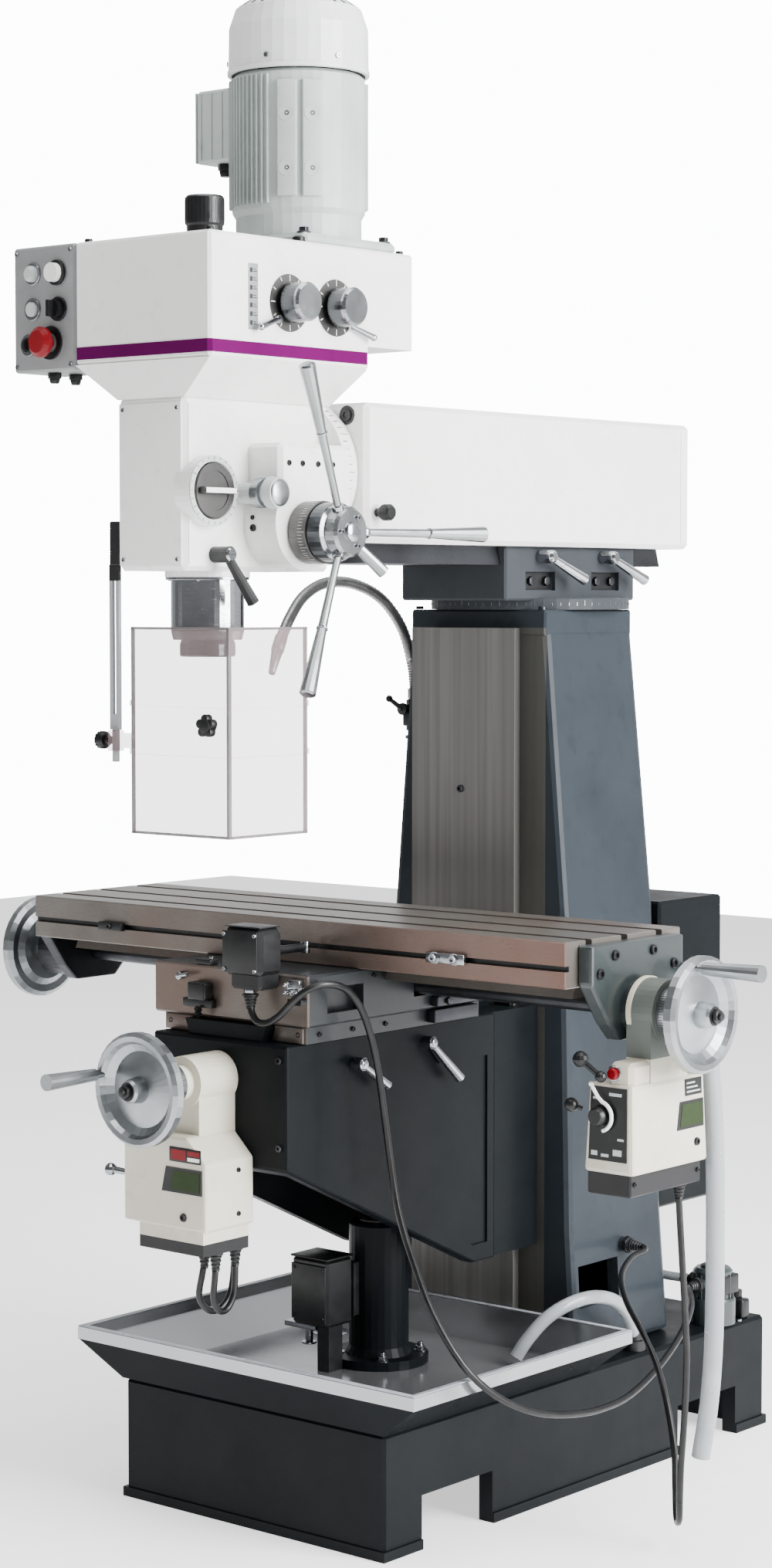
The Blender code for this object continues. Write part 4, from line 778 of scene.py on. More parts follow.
# ---------------------------------------------------------------- the standing part's details
def add_gooseneck():
    """The jointed metal nozzle: a ribbed tube with a tapered tip."""
    neck = [(-0.158, 0.085, 1.1503), (-0.158, 0.085, 1.175), (-0.158, 0.078, 1.21), (-0.155, 0.05, 1.262),
            (-0.15, -0.005, 1.306), (-0.15, -0.07, 1.328), (-0.148, -0.135, 1.329), (-0.142, -0.19, 1.31),
            (-0.13, -0.235, 1.278), (-0.117, -0.272, 1.243)]
    route = smooth_route(neck, 16)
    pipe = Form().sweep(route, [0.0086 if k % 2 else 0.0076 for k in range(len(route))], 20)
    joint = (-0.112, -0.283, 1.23)
    pipe.rod(neck[0], (-0.158, 0.085, 1.166), 0.0105, sides=6, bevel=0.0006)
    pipe.rod((-0.1195, -0.2655, 1.2495), joint, 0.0095, 0.0095, 24, 0.0008)
    pipe.rod(joint, (-0.101, -0.307, 1.198), 0.0085, 0.005, 24, 0.0006)
    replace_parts(pipe.done("nozzle", "ribbed", "root"), "coolant_gooseneck")


def add_valve():
    x, y = -0.158, 0.085
    valve = Form().rod((x, 0.06, 1.135), (x, 0.054, 1.135), 0.0095, sides=24, bevel=0.001)
    valve.rod((x, 0.056, 1.135), (-0.178, 0.05, 1.15), 0.0042, 0.0034, 16)
    valve.ball((-0.179, 0.0497, 1.1508), 0.0055)
    valve.nut((x, y, 1.109), Z * -0.008, 0.0128, 0.0008).nut((x, y, 1.149), Z * -0.008, 0.0128, 0.0008)
    valve.block((-0.171, -0.1453), (0.071, 0.099), (1.108, 1.137), 0.003).done("valve_body", "black", "root")


def add_column_details():
    Form().screw((-0.0033, 0.0077, 1.0203), -Y, 0.0055, 0.004).done("way_stop_screw", "dark_iron", "root")
    gland = Form().nut((0.1668, 0.176, 0.325), X * 0.007, 0.015, 0.0008)
    gland.nut((0.186, 0.176, 0.325), X * 0.007, 0.0135, 0.0008).done("column_gland", "black", "root")
    screws = Form().screws((-0.118, 0.118), (0.05, 0.252), 1.2893, Z, 0.006, 0.005)
    screws.done("column_top_screws", "dark_iron", "root")


def add_cabinet():
    """The switch cabinet's door behind the column, with hinges, a lock, louvres and glands."""
    back = 0.4603
    door = Form().block((-0.156, 0.156), (back, back + 0.003), (0.372, 0.826), 0.0012)
    for k in range(7):
        z = 0.43 + 0.014 * k
        door.block((-0.06, 0.06), (back + 0.0025, back + 0.0062), (z, z + 0.005), 0.0018)
    door.done("cabinet_door", "slate", "root")
    metalwork = Form()
    for z in (0.42, 0.74):
        metalwork.stub((-0.1605, back + 0.004, z), Z * 0.04, 0.004, sides=16, bevel=0.0006)
    lock = cap((0.005, 0.0068), (0.0052, 0.0045), (0.012, 0.0045), (0.013, 0.003), (0.013, 0))
    metalwork.turned((0.132, back + 0.0025, 0.6), Y, lock, 32)
    metalwork.block((0.1312, 0.1328), (back + 0.0088, back + 0.0094), (0.596, 0.604))
    metalwork.done("cabinet_hinges", "bright", "root")
    glands = Form()
    for x in (-0.1, -0.05, 0.09):
        glands.nut((x, 0.405, 0.3597), Z * -0.0117, 0.012, 0.0008)
        glands.stub((x, 0.405, 0.348), Z * -0.008, 0.0095, 0.0075, 20, 0.0006)
    glands.done("cabinet_glands", "black", "root")


def add_pedestal_details():
    """The pedestal's bolts and wiper, and the lid and fitting of the stop box beside it."""
    bolts = Form()
    for out in spokes(range(45, 405, 90)):
        place = Vector((0, -0.187, 0.1998)) + out * 0.061
        bolts.turned(place, Z, hoop((0.005, 0.0012), (0.0105, 0.0012), (0.0105, 0), (0.005, 0)), 24)
        bolts.nut(place + Z * 0.0012, Z * 0.0063, 0.0075)
        bolts.stub(place + Z * 0.0075, Z * 0.005, 0.0045, sides=20, bevel=0.0005)
    bolts.done("pedestal_bolts", "bright", "root")
    collar = hoop((0.0163, 0.402), (0.026, 0.402), (0.03, 0.3985), (0.03, 0.3953), (0.0163, 0.3953))
    Form().turned((0, -0.187, 0), Z, collar, 40).done("pedestal_wiper", "black", "root")
    lid = Form().block((-0.0722, -0.0008), (-0.3012, -0.2418), (0.3503, 0.3535), 0.0012)
    lid.block((-0.069, -0.004), (-0.303, -0.3003), (0.26, 0.342), 0.001)
    lid.screws((-0.064, -0.009), -0.303, (0.266, 0.336), -Y, 0.0026, 0.0016, "button")
    lid.done("stop_box_lid", "black", "root")
    fitting = Form().block((-0.09, -0.03), (-0.295, -0.278), (0.244, 0.2517), 0.001)
    fitting.nut((-0.05, -0.285, 0.244), Z * -0.019, 0.006)
    fitting.turned((-0.05, -0.285, 0.225), -Z, band(0.004, 0.011, 0.003), 28)
    fitting.done("stop_box_fitting", "bright", "root")


def add_tray_details():
    lip, out, inn = 0.2433, 0.3186, 0.3088
    height = (lip, lip + 0.0016)
    # painted highlight: a thin light-grey frame on top of the tray's lip stands in for the line of light along it
    rim = Form().pair((inn, out), (-0.4915, 0.006), height, 0.0007)
    for y in ((-0.4915, -0.4818), (-0.003, 0.006)):
        rim.block((-inn, inn), y, height, 0.0007)
    rim.done("tray_rim_highlight", "rim", "root")
    strainer = Form().turned((-0.17, -0.1, 0.1866), Z, cap((0.026, 0.0016), (0.029, 0.0004), (0.029, 0)), 40)
    strainer.done("strainer", "bright", "root")
    # painted shade: black discs on the strainer stand in for the shade seen through its holes
    hole_shade = Form()
    for ring, count in ((0, 1), (0.008, 6), (0.016, 12), (0.0225, 18)):
        for out in spokes(360 * k / count for k in range(count)):
            hole_shade.stub(Vector((-0.17, -0.1, 0.1882)) + out * ring, Z * 0.0003, 0.0017, sides=12)
    hole_shade.done("strainer_hole_shade", "black", "root")
    socket = hoop((0.0102, 0.026), (0.012, 0.026), (0.013, 0.016), (0.017, 0.015), (0.018, 0), (0.0102, 0))
    Form().turned((0.2215, 0.148, 0.1743), Z, socket, 32).done("tray_hose_socket", "black", "root")


def add_pump_details():
    x, y = 0.212, 0.372
    ribs = Form()
    for degrees in range(0, 360, 18):
        ribs.spoke((x, y, 0.234), degrees, 0.0318, (0.0024, 0.0018, 0.038))
    ribs.turned((x, y, 0.212), Z, hoop((0.0312, 0.003), (0.034, 0.003), (0.0352, 0), (0.0312, 0)), 40)
    ribs.done("pump_ribs", "green_grey", "root")
    fittings = Form().turned((x, y, 0.2623), Z, cap((0.014, 0.005), (0.019, 0.0028), (0.02, 0)), 36)
    fittings.nut((x, 0.3335, 0.24), Y * -0.006, 0.0115, 0.0007)
    fittings.nut((0.17, y, 0.236), X * 0.0065, 0.0115, 0.0007)
    fittings.block((0.228, 0.2445), (0.352, 0.398), (0.222, 0.252), 0.003)
    fittings.block((0.205, 0.24), (0.414, 0.436), (0.1743, 0.205), 0.004)
    fittings.nut((0.222, 0.425, 0.205), Z * 0.013, 0.0085).done("pump_fittings", "black", "root")
    bolts = Form()
    for dx, dy in ((-1, -1), (1, 1), (-1, 1), (1, -1)):
        bolts.screw((x + dx * 0.0299, y + dy * 0.0299, 0.1743), Z, 0.004, head="hex")
    bolts.done("pump_bolts", "bright", "root")


# ---------------------------------------------------------------- turret and ram
def add_turret_details():
    bolts, recess_shade_sheets = Form(), Form()
    for side in (-1, 1):
        bolts.screws(side * 0.0933, (0.05, 0.087, 0.214, 0.251), 1.332, X * side, 0.0072, 0.006, "hex")
        for y in ((0.033, 0.104), (0.197, 0.267)):
            # painted shade: thin black sheets on the floors of the turret's bolt recesses stand in for the shade in
            # them
            recess_shade_sheets.block(sorted((side * 0.0926, side * 0.0933)), y, (1.319, 1.345), 0.0003)
    bolts.done("turret_bolts", "dark_iron", "turret")
    recess_shade_sheets.done("turret_window_shade", "black", "turret")
    scale = rim_ticks(Form(), (0, 0.174, 1.299), Z, 0.1521, 72, 0.008, 0.0006)
    scale.done("turret_scale", "aluminium", "turret")
    pointer = Form().block((0.13, 0.14), (0.165, 0.183), (1.2895, 1.2925), 0.0008)
    pointer.done("turret_pointer", "bright", "root")
    for name, y in (("front", 0.0665), ("rear", 0.2227)):
        button = Form().turned((0.125, y, 1.368), X, cap((0.006, 0.005), (0.0085, 0.0025), (0.0095, 0)), 28)
        button.done("clamp_cap_" + name, "bright", "clamp_" + name)


def add_ram_details():
    bolt = Form()
    for x in (-0.085, 0.085):
        bolt.turned((x, -0.3553, 1.56), -Y, band(0.004, 0.0135, 0.0014), 32)
        bolt.screw((x, -0.3566, 1.56), -Y, 0.009, 0.002)
    bolt.done("ram_front_bolts", "black", "ram")
    knob = Form().stub((0.1203, -0.3325, 1.425), X * 0.0087, 0.006, sides=24)
    grip = cap((0.0085, 0.019), (0.0105, 0.0165), (0.0112, 0.004), (0.009, 0))
    knob.turned((0.1285, -0.3325, 1.425), X, grip, 32)
    rim_ticks(knob, (0.1385, -0.3325, 1.425), X, 0.0112, 18, 0.012, 0.0014, 1)
    knob.done("ram_knob", "black", "ram")
    plate = Form().turned((0, 0.4303, 1.48), Y, band(0.0555, 0.075, 0.003), 64)
    for out in spokes(range(30, 390, 60), X, Z):
        plate.screw(Vector((0, 0.4333, 1.48)) + out * 0.0655, Y, 0.0045, 0.0036)
    plate.done("ram_rear_ring", "bright", "ram")
    cover = Form().turned((0, 0.4143, 1.48), Y, cap((0.04, 0.004), (0.054, 0.002), (0.0545, 0)), 48)
    for k in range(5):
        left, z = -0.034 + 0.004 * k * (k % 2), 1.456 + 0.0115 * k
        cover.block((left, 0.034), (0.418, 0.4198), (z, z + 0.003), 0.0006)
    cover.done("ram_rear_cover", "black", "ram")
    top = Form()
    for y in (-0.2, 0.3):
        top.turned((0, y, 1.5773), Z, cap((0.009, 0.0046), (0.014, 0.003), (0.015, 0)), 32)
    top.done("ram_top_plugs", "black", "ram")
    straps = Form().pair((0.12025, 0.1212), (0.404, 0.42), (1.393, 1.567), 0.0004)
    straps.done("ram_end_straps", "white", "ram")


# ---------------------------------------------------------------- head
def add_stripe():
    """The coloured band round the foot of the head's gearbox."""
    half, front, back, corner, thick = 0.125, -0.674, -0.3595, 0.004, 0.0009
    path = [(-half + corner, front - GAP), (half - corner, front - GAP), (half + GAP, front + corner),
            (half + GAP, back), (half + thick, back), (half + thick, front + corner),
            (half - corner, front - thick), (-half + corner, front - thick)]
    Form().outline(path, 0.0168, (0, 0, 1.6272), X, Y).done("stripe", "purple", "head")
    left = Form().block((-half - thick, -half - GAP), (-0.577, back), (1.6272, 1.644))
    left.done("stripe_left", "purple", "head")


def add_head_details():
    cover = Form().block((-0.0575, 0.0575), (-0.6588, -0.6573), (1.35, 1.566), 0.0007)
    cover.block((0.0623, 0.0634), (-0.65, -0.644), (1.352, 1.564), 0.0005)
    cover.done("head_front_cover", "white", "head")
    screws = Form().screws((-0.05, 0.05), -0.6588, (1.358, 1.558), -Y, 0.003, 0.0016, "button")
    screws.done("head_cover_screws", "bright", "head")
    plugs = Form().screws(0.1201, (-0.515, -0.4878, -0.4563, -0.426), 1.488, X, 0.0042, 0.0018, "button")
    plugs.screw((0.078, -0.5415, 1.415), -Y, 0.0032, 0.0022).screw((0.079, -0.5412, 1.401), -Y, 0.005, 0.003)
    plugs.done("gearbox_plugs", "black", "head")


def add_gear_scales():
    """The speed knobs' scale rings and latches, and the blank chart beside them."""
    scales, marks, latch = Form(), Form(), Form()
    for y, side in ((-0.52, -1), (-0.4255, 1)):
        scales.turned((0.1253, y, 1.7), X, band(0.011, 0.0385, 0.0012), 56)
        ticks(marks, (0.12665, y, 1.7), X, 0.0372, 12, (0.005, 0.0012, 0.0004), every=3)
        root = (y + side * 0.026, 1.677)
        latch.rod((0.1266, *root), (0.133, *root), 0.0055, sides=24, bevel=0.0005)
        latch.rod((0.131, *root), (0.136, y + side * 0.066, 1.664), 0.003, 0.0046, 20)
        latch.ball((0.1362, y + side * 0.067, 1.6637), 0.005)
    scales.done("gear_scales", "knurled", "head")
    marks.done("gear_marks", "white_plastic", "head")
    latch.done("gear_latches", "bright", "head")
    strip = Form().block((0.1253, 0.1259), (-0.6, -0.582), (1.66, 1.747), 0.0002)
    strip.done("gear_chart", "panel_grey", "head")
    chart = Form()
    for row in range(7):
        z = 1.666 + 0.0115 * row
        for y, low, high in (((-0.5978, -0.593), 0, 0.0062), ((-0.5912, -0.5842), 0.001, 0.002),
                             ((-0.5912, -0.5862), 0.004, 0.005)):
            chart.block((0.1259, 0.12615), y, (z + low, z + high))
    chart.done("gear_chart_marks", "dark_iron", "head")


def add_flange_details():
    """The swivel flange's bolts and scale, the quill collar, and what is on top of the head."""
    flange = Form()
    for out in spokes((-20, 20, 160, 200), X, Z):
        flange.screw(Vector((0, -0.3833, 1.48)) + out * 0.09, -Y, 0.0065, 0.0055, "hex")
    flange.done("tilt_bolts", "bright", "head")
    scale = rim_ticks(Form(), (0, -0.37, 1.48), Y, 0.1061, 60, 0.014, 0.0008)
    scale.done("tilt_scale", "dark_iron", "head")
    collar = Form().turned((0, -0.548, 1.3352), -Z, band(0.0506, 0.0572, 0.004), 64)
    for out in spokes(range(0, 360, 60)):
        collar.screw(Vector((0, -0.548, 1.3312)) + out * 0.054, -Z, 0.0022, 0.0014, "button")
    collar.done("quill_collar", "bright", "head")
    top = Form().screws((0.112, -0.112), (-0.275, -0.66), 1.7853, Z, 0.0055, 0.0048)
    breather = cap((0.006, 0.01), (0.0085, 0.008), (0.0085, 0.003), (0.01, 0.0028), (0.01, 0))
    top.turned((0.098, -0.47, 1.7853), Z, breather, 28).done("head_top_plugs", "black", "head")
    seat = Form().turned((0, -0.551, 1.7853), Z, band(0.025, 0.033, 0.003), 48)
    seat.done("cap_seat", "white", "head")
    ribs = rim_ticks(Form(), (0, -0.551, 1.829), Z, 0.0268, 32, 0.028, 0.0018, 1)
    ribs.done("cap_ribs", "black", "head")


def add_dials():
    """The feed dial's and depth stop's rings, and the trim of the three-lever hub and quill lock."""
    dial, stop, hub = (-0.618, 1.449), (-0.55, 1.447), (-0.478, 1.395)
    ring = Form().turned((0.08, *dial), X, band(0.0265, 0.0365, 0.0012), 56)
    ring.done("dial_ring", "knurled", "feed_dial")
    grip = Form().block((0.092, 0.093), (-0.647, -0.589), (1.4455, 1.4525), 0.0004)
    grip.done("dial_bar", "white_plastic", "feed_dial")
    bezel = Form().turned((0.0783, *dial), X, band(0.039, 0.0468, 0.0014), 64)
    bezel.done("dial_bezel", "grey_plastic", "head")
    marks = ticks(Form(), (0.07985, *dial), X, 0.0455, 24, (0.0032, 0.0008, 0.0004), every=4)
    marks.done("dial_marks", "black", "head")
    depth = Form().turned((0.0962, *stop), X, band(0.0142, 0.02, 0.014), 40)
    rim_ticks(depth, (0.1032, *stop), X, 0.02, 30, 0.012, 0.001, 1)
    depth.turned((0.1351, *stop), X, cap((0.015, 0.003), (0.018, 0.001), (0.0185, 0)), 36)
    depth.done("depth_ring", "aluminium", "depth_stop")

    scale = Form().turned((0.1225, *hub), X, band(0.0402, 0.0422, 0.03), 64)
    scale.done("lever_scale", "knurled", "feed_lever")
    marks = rim_ticks(Form(), (0.145, *hub), X, 0.0423, 60, 0.012, 0.0007)
    marks.done("lever_marks", "grey_plastic", "feed_lever")
    nose = Form().turned((0.2, *hub), X, cap((0.01, 0.005), (0.013, 0.003), (0.0135, 0)), 32)
    for out in spokes((60, 180, 300), Y, Z):
        nose.screw(Vector((0.2001, *hub)) + out * 0.022, X, 0.004, 0.0034)
    nose.done("lever_hub_screws", "bright", "feed_lever")
    nuts = Form()
    for out in spokes((0, 120, 240), Y, Z):
        root = Vector((0.188, *hub)) + 0.02 * out
        tip = Vector((0.229, *hub)) + 0.246 * out
        way = (tip - root).normalized()
        nuts.nut(root + way * 0.012, way * 0.009, 0.0085)
        nuts.turned(tip - way * 0.0008, way, [(0, 0.0034), (0.0075, 0.0028), (0.0108, 0), (0, 0)], 28)
        nuts.turned(root + way * 0.129, way, band(0.0058, 0.0078, 0.003), 28)
    nuts.done("lever_nuts", "bright", "feed_lever")
    lock = Form().turned((0.092, -0.6, 1.3645), X, cap((0.0075, 0.0035), (0.0098, 0.0012), (0.01, 0)), 28)
    lock.done("quill_lock_cap", "bright", "quill_lock")


def add_panel_details():
    face = -0.6743
    lamp, button, key = (-0.206, face, 1.748), (-0.2065, face, 1.7), (-0.2146, face, 1.652)
    bezels = Form()
    for x, z, outer, height, inner, steps in ((-0.172, 1.653, 0.023, 0.0024, 0.0136, 48),
                                              (-0.159, 1.747, 0.0172, 0.004, 0.0134, 40),
                                              (-0.1565, 1.698, 0.0165, 0.003, 0.0124, 40)):
        bezels.turned((x, face, z), -Y, band(inner, outer, height), steps)
    bezels.done("button_bezels", "black", "head")
    caps = Form().turned(lamp, -Y, [(0, 0.012), (0.007, 0.011), (0.0108, 0.007), (0.0112, 0), (0, 0)], 36)
    caps.turned(button, -Y, cap((0.0088, 0.006), (0.01, 0.0045), (0.01, 0)), 36)
    caps.done("lamp_and_button", "grey_plastic", "head")
    rings = Form()
    for place in (lamp, button, key):
        rings.turned(place, -Y, band(0.0108, 0.015, 0.0022), 40)
    rings.done("lamp_rings", "bright", "head")
    switch = Form().turned(key, -Y, cap((0.0096, 0.005), (0.0104, 0.004), (0.0104, 0)), 32)
    switch.block((-0.216, -0.2132), (face - 0.0105, face - 0.0048), (1.6455, 1.6585), 0.0006)
    switch.done("key_switch", "black", "head")
    corners = Form().screws((-0.238, -0.133), face, (1.623, 1.777), -Y, 0.0032, 0.0018, "button")
    corners.done("panel_screws", "bright", "head")
    side = Form().block((-0.2462, -0.2453), (-0.668, -0.584), (1.621, 1.779), 0.0003)
    for z in (1.633, 1.743):
        side.stub((-0.247, -0.5785, z), Z * 0.024, 0.0028, sides=16, bevel=0.0004)
    side.done("panel_side", "panel_grey", "head")
    gland = Form()
    for y in (-0.65, -0.61):
        gland.nut((-0.19, y, 1.6147), Z * -0.0077, 0.01)
        gland.stub((-0.19, y, 1.607), Z * -0.007, 0.008, 0.006, 20, 0.0005)
    gland.done("panel_glands", "black", "head")


def add_motor_details():
    y0 = -0.36
    axis = Vector((0, y0, 0))
    fins = Form()
    for degrees in range(-180, 180, 5):
        bare = -72 < degrees < 44 or abs(abs(degrees) - 180) < 32 or abs(degrees - 132) < 11
        if not bare:
            fins.spoke((0, y0, 1.9355), degrees, 0.095, (0.0048, 0.0018, 0.175))
    fins.done("motor_fins", "motor", "head")
    pads, sockets = Form(), Form()
    boss = hoop((0.0042, 0.001), (0.0112, 0.001), (0.0122, -0.002), (0.0042, -0.002))
    for degrees in (-58, -37, 132):
        out = spokes([degrees])[0]
        pads.spoke((0, y0, 1.935), degrees, 0.094, (0.007, 0.027, 0.158), 0.0012)
        for z in (1.894, 1.968):
            place = axis + Z * z + out * 0.097
            pads.turned(place, out, boss, 32)
            sockets.screw(place - out * 0.0012, out, 0.0034, 0.0018)
    pads.done("motor_pads", "motor", "head")
    sockets.done("motor_pad_screws", "dark_iron", "head")
    box = Form().block((-0.158, -0.1553), (y0 - 0.0435, y0 + 0.0435), (1.9215, 2.0205), 0.001)
    box.screws(-0.158, (y0 - 0.037, y0 + 0.037), (1.929, 2.013), -X, 0.003, 0.0018, "button")
    for x in (-0.145, -0.125, -0.105):
        box.block((x, x + 0.002), (y0 - 0.0462, y0 - 0.0453), (1.925, 2.017), 0.0004)
    box.done("terminal_lid", "motor", "head")
    gland = Form().nut((-0.12, y0 - 0.02, 1.9197), Z * -0.0087, 0.012, 0.0008)
    gland.stub((-0.12, y0 - 0.02, 1.911), Z * -0.009, 0.0098, 0.008, 24, 0.0005)
    gland.done("terminal_gland", "black", "head")
    Form().turned((0, y0, 2.032), Z, band(0.0982, 0.0992, 0.006), 72).done("cowl_rim", "cowl", "head")
    screws = Form()
    for out in spokes((-75, -15, 60, 150, -135)):
        screws.screw(axis + Z * 2.048 + out * 0.0979, out, 0.0038, 0.002, "button")
    screws.done("cowl_screws", "bright", "head")
    # painted shade: thin dark plates on the cowl's top stand in for the shade inside its vent slots
    slot_shade = Form()
    for out in spokes(range(0, 360, 12)):
        side = Z.cross(out)
        way = (out * 0.018 - Z * 0.012).normalized()
        basis = Matrix((way, side, way.cross(side))).transposed().to_4x4()
        slot_shade.plate(axis + out * 0.079 + Z * 2.128, (0.017, 0.0044, 0.0008), basis)
    slot_shade.done("cowl_slot_shade", "dark_iron", "head")
    foot = Form()
    for place in grid((-0.084, 0.084), (y0 - 0.084, y0 + 0.084), 1.8033):
        foot.turned(place, Z, band(0.004, 0.01, 0.0014), 28)
        foot.screw(Vector(place) + Z * 0.0014, Z, 0.007, 0.0062, "hex")
    foot.done("motor_bolts", "dark_iron", "head")


def add_guard_details():
    front, right, bottom, top = -0.64, 0.125, 0.988, 1.268
    pane, side, soft = (front - 0.0006, front + 0.0046), (right - 0.0046, right + 0.0006), 0.0006
    edges = Form()
    for z in (bottom, top - 0.0035):
        edges.block((-0.0551, right + 0.0006), pane, (z, z + 0.0035), soft)
        edges.block(side, (front + 0.005, -0.4845), (z, z + 0.0035), soft)
    edges.block((-0.0556, -0.052), pane, (bottom, top), soft)
    edges.block((right - 0.004, right + 0.0008), (front - 0.0008, front + 0.0046), (bottom, top), soft)
    edges.block(side, (-0.4885, -0.4845), (bottom, top), soft).done("guard_edges", "guard_edge", "guard")
    x, z = 0.0995, 1.138
    star = Form().rod((x, -0.6445, z), (x, -0.652, z), 0.008, sides=24, bevel=0.0006)
    for out in spokes(range(90, 450, 72), X, Z):
        star.stub(Vector((x, -0.6505, z)) + out * 0.0095, Y * -0.0105, 0.0062, sides=24, bevel=0.001)
    star.rod((x, -0.6505, z), (x, -0.662, z), 0.0095, sides=24, bevel=0.001)
    star.done("guard_star_knob", "black", "guard")
    clamp = Form().stub((-0.086, -0.65, 1.114), X * -0.009, 0.006, sides=20)
    grip = cap((0.009, 0.015), (0.0115, 0.012), (0.012, 0.003), (0.0095, 0))
    clamp.turned((-0.093, -0.65, 1.114), -X, grip, 32)
    rim_ticks(clamp, (-0.1005, -0.65, 1.114), X, 0.0119, 14, 0.009, 0.002, 1)
    clamp.done("guard_clamp_knob", "black", "guard")
    post = Form().turned((-0.075, -0.65, 1.1277), Z, [(0, 0), (0.0053, 0), (0.0053, -0.001), (0, -0.001)], 24)
    post.screws(-0.0843, -0.6415, (1.356, 1.401), -X, 0.0042, 0.003)
    post.done("guard_post_screws", "bright", "head")


# ---------------------------------------------------------------- knee, saddle and table
def add_knee_details():
    screws = Form().screws((-0.112, 0.112), -0.5283, (0.56, 0.68), -Y, 0.0048, 0.0034)
    screws.done("knee_screws", "dark_iron", "knee")
    wiper = Form().pair((0.066, 0.0965), (0.001, 0.0072), (0.6996, 0.709), 0.0008)
    wiper.done("knee_wipers", "black", "knee")
    for name, y, z in (("front", -0.387, 0.662), ("rear", -0.235, 0.675)):
        button = Form().turned((0.143, y, z), X, cap((0.005, 0.0035), (0.008, 0.0015), (0.0086, 0)), 28)
        button.done("lock_cap_" + name, "bright", "knee_lock_" + name)
    unit = Form().screw((0.0244, -0.6253, 0.4687), -Y, 0.0058, 0.0026, "button")
    unit.screws(0.0653, -0.56, (0.47, 0.53), X, 0.0036, 0.002, "button")
    unit.turned((0, -0.6403, 0.648), -Y, band(0.0245, 0.03, 0.004), 48)
    unit.done("cross_unit_plugs", "black", "knee")
    dial = Form().turned((0, -0.6202, 0.648), -Y, band(0.0242, 0.029, 0.017), 56)
    dial.done("cross_dial", "aluminium", "knee")
    marks = rim_ticks(Form(), (0, -0.6285, 0.648), Y, 0.029, 50, 0.011, 0.0006)
    marks.done("cross_dial_marks", "black", "knee")


def add_cross_labels():
    """Blank coloured plates on the cross-feed unit's front."""
    face, print_face = (-0.626, -0.6253), (-0.6264, -0.626)
    label = Form().block((-0.0013, 0.0575), face, (0.544, 0.564), 0.0002)
    lower = [(-0.016, 0.5016), (0.059, 0.5016), (0.059, 0.536), (-0.008, 0.536)]
    label.outline(lower, 0.0007, (0, -0.6253, 0), X, Z)
    label.done("cross_labels", "black", "knee")
    patch = Form().block((0.002, 0.03), print_face, (0.547, 0.561))
    patch.block((0.033, 0.055), print_face, (0.554, 0.561))
    patch.done("cross_label_red", "red", "knee")
    green = [(0.002, 0.5055), (0.055, 0.5055), (0.055, 0.532), (0.006, 0.532)]
    Form().outline(green, 0.0004, (0, -0.6261, 0), X, Z).done("cross_label_green", "green", "knee")
    pale = Form().block((0.033, 0.055), print_face, (0.547, 0.552))
    pale.done("cross_label_pale", "white_plastic", "knee")


def add_saddle_details():
    front = -0.5063
    black = Form().block((-0.08, -0.025), (front - 0.011, front), (0.738, 0.75), 0.0015)
    black.block((-0.064, -0.03), (front - 0.019, front), (0.749, 0.774), 0.003)
    black.block((-0.068, -0.04), (-0.503, -0.486), (0.7963, 0.804), 0.001)
    for k in range(2):
        y, z = front - 0.018 + 0.0003 * k, 0.738 - 0.006 * k
        black.rod((-0.046, y, z), (-0.046, front - 0.012, z - 0.004), 0.0042, sides=16)
    black.block((0.118, 0.144), (front - 0.013, front), (0.756, 0.764), 0.0012)
    black.done("saddle_fittings", "black", "saddle")
    bright = Form().screw((-0.09, front, 0.779), -Y, 0.006, 0.009, "hex")
    bright.rod((-0.09, front - 0.009, 0.779), (-0.07, front - 0.012, 0.783), 0.0028, sides=16)
    bright.block((0.115, 0.138), (front - 0.011, front), (0.768, 0.79), 0.002)
    for x, z in ((0.1205, 0.784), (0.1325, 0.775), (0.1205, 0.7735)):
        bright.nut((x, front - 0.011, z), Y * -0.007, 0.0042, 0.0004).ball((x, front - 0.02, z), 0.003)
    bright.screw((-0.045, -0.4945, 0.804), Z, 0.004, 0.0034, "hex")
    bright.screws((-0.12, 0.12), -0.4963, 0.713, -Y, 0.0042, 0.0032)
    bright.done("saddle_bright_fittings", "bright", "saddle")
    clamps = Form().block((0.1463, 0.16), (-0.246, -0.136), (0.729, 0.744), 0.002)
    clamps.block((0.1333, 0.15), (-0.24, -0.142), (0.704, 0.7235), 0.002)
    for y in (-0.225, -0.157):
        clamps.nut((0.16, y, 0.7365), X * 0.006, 0.006, 0.0005)
    clamps.done("saddle_clamps", "dark_iron", "saddle")
    gib = Form().screws(0.1333, (-0.47, -0.4, -0.33), 0.712, X, 0.0036, 0.003)
    gib.screws(0.1463, (-0.49, -0.37, -0.33, -0.16), 0.785, X, 0.0036, 0.003)
    gib.screws(-0.1463, (-0.47, -0.38, -0.29, -0.2), 0.76, -X, 0.0036, 0.003)
    gib.done("gib_screws", "black", "saddle")
    wipers = Form().pair((0.0775, 0.129), (-0.4995, -0.4963), (0.701, 0.7225), 0.0008)
    wipers.block((-0.129, 0.129), (-0.1197, -0.1165), (0.701, 0.7225), 0.0008)
    wipers.done("saddle_wipers", "ground", "saddle")
    switch = Form().screws((0.038, 0.094), -0.5578, (0.803, 0.851), -Y, 0.003, 0.0016, "button")
    switch.stub((0.066, -0.4232, 0.815), Z * 0.016, 0.0068, sides=28, bevel=0.0006)
    switch.turned((0.066, -0.506, 0.823), Y, band(0.0062, 0.01, 0.006), 32)
    switch.nut((0.062, -0.531, 0.7757), Z * -0.006, 0.0098, 0.0005)
    switch.done("switch_bright_parts", "bright", "saddle")
    cover = Form().block((0.0345, 0.0975), (-0.5578, -0.5563), (0.7985, 0.8555), 0.0006)
    cover.block((0.034, 0.098), (-0.552, -0.5103), (0.8603, 0.8622), 0.0008)
    cover.done("switch_cover", "black", "saddle")


